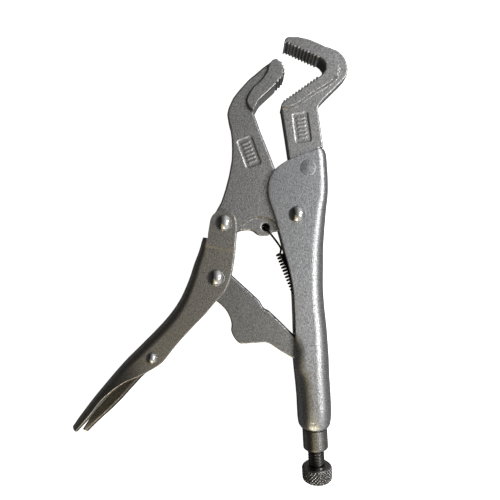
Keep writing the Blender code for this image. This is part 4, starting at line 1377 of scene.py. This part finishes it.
def add_floor():
    """A flat pale table, softly lit from within, that polished metal does not mirror."""
    mesh = bpy.data.meshes.new("table")
    far = TABLE_REACH
    mesh.from_pydata([(-far, -far, 0), (far, -far, 0), (far, far, 0), (-far, far, 0)], [], [(0, 1, 2, 3)])
    made = bpy.data.materials.new("pale_table")
    made.use_nodes = True
    tree = made.node_tree
    shader = tree.nodes["Principled BSDF"]
    shader.inputs["Roughness"].default_value = 0.85
    place = tree.nodes.new("ShaderNodeTexCoord").outputs["Object"]
    tone = mix_colour(tree, noise(tree, place, 30.0, 3.0), (0.90, 0.90, 0.90), (0.94, 0.94, 0.94))
    tree.links.new(tone, shader.inputs["Base Color"])
    shader.inputs["Emission Color"].default_value = (1.0, 1.0, 1.0, 1.0)
    shader.inputs["Emission Strength"].default_value = TABLE_GLOW
    mesh.materials.append(made)
    table = bpy.data.objects.new("table", mesh)
    table.visible_glossy = False
    bpy.context.scene.collection.objects.link(table)


def ramp(tree, value, stops):
    """A colour along a value from -1 to 1; a stop's tone is a grey or a colour."""
    node = tree.nodes.new("ShaderNodeValToRGB")
    tree.links.new(remap(tree, value, -1.0, 1.0), node.inputs["Fac"])
    band = node.color_ramp
    while len(band.elements) < len(stops):
        band.elements.new(0.5)
    for element, (place, tone) in zip(band.elements, stops):
        element.position = 0.5 * (place + 1.0)
        element.color = (*tone, 1.0) if isinstance(tone, tuple) else (tone, tone, tone, 1.0)
    return node.outputs["Color"]


# Stops of the room's light from left to right, and below the horizon from straight down to level
SKY_ACROSS = (
    (-1.0, 0.05), (-0.6, 0.015), (-0.4, 0.02), (-0.28, (0.12, 0.115, 0.105)), (-0.12, (0.19, 0.185, 0.175)),
    (0.0, (0.19, 0.192, 0.195)), (0.1, (0.36, 0.365, 0.375)), (0.22, (0.54, 0.55, 0.57)), (0.42, 0.85),
    (0.6, 0.85), (0.76, 0.6), (0.9, 0.36), (1.0, 0.3),
)  # fmt: skip
FLOOR_DOWN = ((-1.0, 0.012), (-0.85, 0.015), (-0.6, 0.07), (-0.25, 0.15), (0.0, 0.08))
FLOOR_RIGHT = (0.27, 0.27, 0.27)
WARM_LIGHT = (1.1, 0.93, 0.58)


def add_world(scene):
    """Room light: grey above, a bright wall to the right, dark to the left.

    A warm patch lies towards the knob and a weaker one beside it to the left. Below the
    horizon the left half is dark straight down and grey further out, the right half even grey.
    """
    world = bpy.data.worlds.new("studio_room")
    scene.world = world
    world.use_nodes = True
    tree = world.node_tree
    tree.nodes.clear()
    direction = tree.nodes.new("ShaderNodeTexCoord").outputs["Generated"]
    split = tree.nodes.new("ShaderNodeSeparateXYZ")
    tree.links.new(direction, split.inputs[0])
    x, y, z = split.outputs
    warm = product(
        tree,
        remap(tree, y, -0.44, -0.62),
        remap(tree, y, -0.97, -0.85),
        remap(tree, x, -0.42, -0.16),
        remap(tree, x, 0.3, 0.12),
    )
    beside = product(
        tree,
        remap(tree, y, -0.14, -0.3),
        remap(tree, x, -0.14, -0.24),
        remap(tree, x, -0.46, -0.34),
        0.55,
    )
    warm = math_node(tree, "MAXIMUM", warm, beside)
    sky = mix_colour(tree, warm, ramp(tree, x, SKY_ACROSS), WARM_LIGHT)
    table = mix_colour(tree, remap(tree, x, 0.0, 0.2), ramp(tree, z, FLOOR_DOWN), FLOOR_RIGHT)
    room = mix_colour(tree, remap(tree, z, -0.04, 0.14), table, sky)
    lit = tree.nodes.new("ShaderNodeBackground")
    tree.links.new(room, lit.inputs["Color"])
    pale = tree.nodes.new("ShaderNodeBackground")
    pale.inputs["Color"].default_value = (0.95, 0.95, 0.95, 1.0)
    path = tree.nodes.new("ShaderNodeLightPath")
    mix = tree.nodes.new("ShaderNodeMixShader")
    tree.links.new(path.outputs["Is Camera Ray"], mix.inputs[0])
    tree.links.new(lit.outputs[0], mix.inputs[1])
    tree.links.new(pale.outputs[0], mix.inputs[2])
    out = tree.nodes.new("ShaderNodeOutputWorld")
    tree.links.new(mix.outputs[0], out.inputs[0])


# name, place, size, power, colour
STUDIO_LIGHTS = (
    ("window_right", (0.54, 0.22, 0.52), 0.16, 1.5, (1.0, 1.0, 1.0)),
    ("window_near", (0.44, -0.12, 0.56), 0.12, 1.0, (1.0, 0.99, 0.97)),
    ("warm_lamp", (0.02, -0.75, 0.42), 0.16, 1.2, (1.0, 0.88, 0.66)),
)


def add_area_light(name, place, size, power, tint):
    """A square soft light that faces the tool."""
    lamp = bpy.data.lights.new(name, "AREA")
    lamp.size = size
    lamp.energy = power
    lamp.color = tint
    light = bpy.data.objects.new(name, lamp)
    light.location = place
    aim = np.array((0.02, 0.0, 0.0)) - np.array(place)
    light.rotation_euler = Vector(aim).to_track_quat("-Z", "Y").to_euler()
    bpy.context.scene.collection.objects.link(light)


class PLIERS_PT_panel(bpy.types.Panel):
    """Every size and finish, and a button for each piece"""

    bl_idname = "PLIERS_PT_panel"
    bl_label = "Locking Pliers"
    bl_space_type = "VIEW_3D"
    bl_region_type = "UI"
    bl_category = "Pliers"

    def draw(self, context):
        layout = self.layout
        for group in (context.scene.pliers_sizes, context.scene.pliers_finish):
            box = layout.box()
            for name in group.__annotations__:
                box.prop(group, name)
        for operator in OPERATORS:
            layout.operator(operator.bl_idname)


OPERATORS = (
    PLIERS_OT_fixed_handle,
    PLIERS_OT_fixed_jaw,
    PLIERS_OT_moving_jaw,
    PLIERS_OT_lever,
    PLIERS_OT_toggle_link,
    PLIERS_OT_release_lever,
    PLIERS_OT_rivets,
    PLIERS_OT_adjuster,
    PLIERS_OT_spring,
    PLIERS_OT_stage,
)
CLASSES = (PliersSizes, PliersFinish, *OPERATORS, PLIERS_PT_panel)


def register():
    for each in CLASSES:
        bpy.utils.register_class(each)
    bpy.types.Scene.pliers_sizes = bpy.props.PointerProperty(type=PliersSizes)
    bpy.types.Scene.pliers_finish = bpy.props.PointerProperty(type=PliersFinish)


def unregister():
    del bpy.types.Scene.pliers_finish
    del bpy.types.Scene.pliers_sizes
    for each in reversed(CLASSES):
        bpy.utils.unregister_class(each)


def main():
    register()
    for operator in OPERATORS:
        getattr(bpy.ops.pliers, operator.bl_idname.split(".")[1])()


if __name__ == "__main__":
    main()
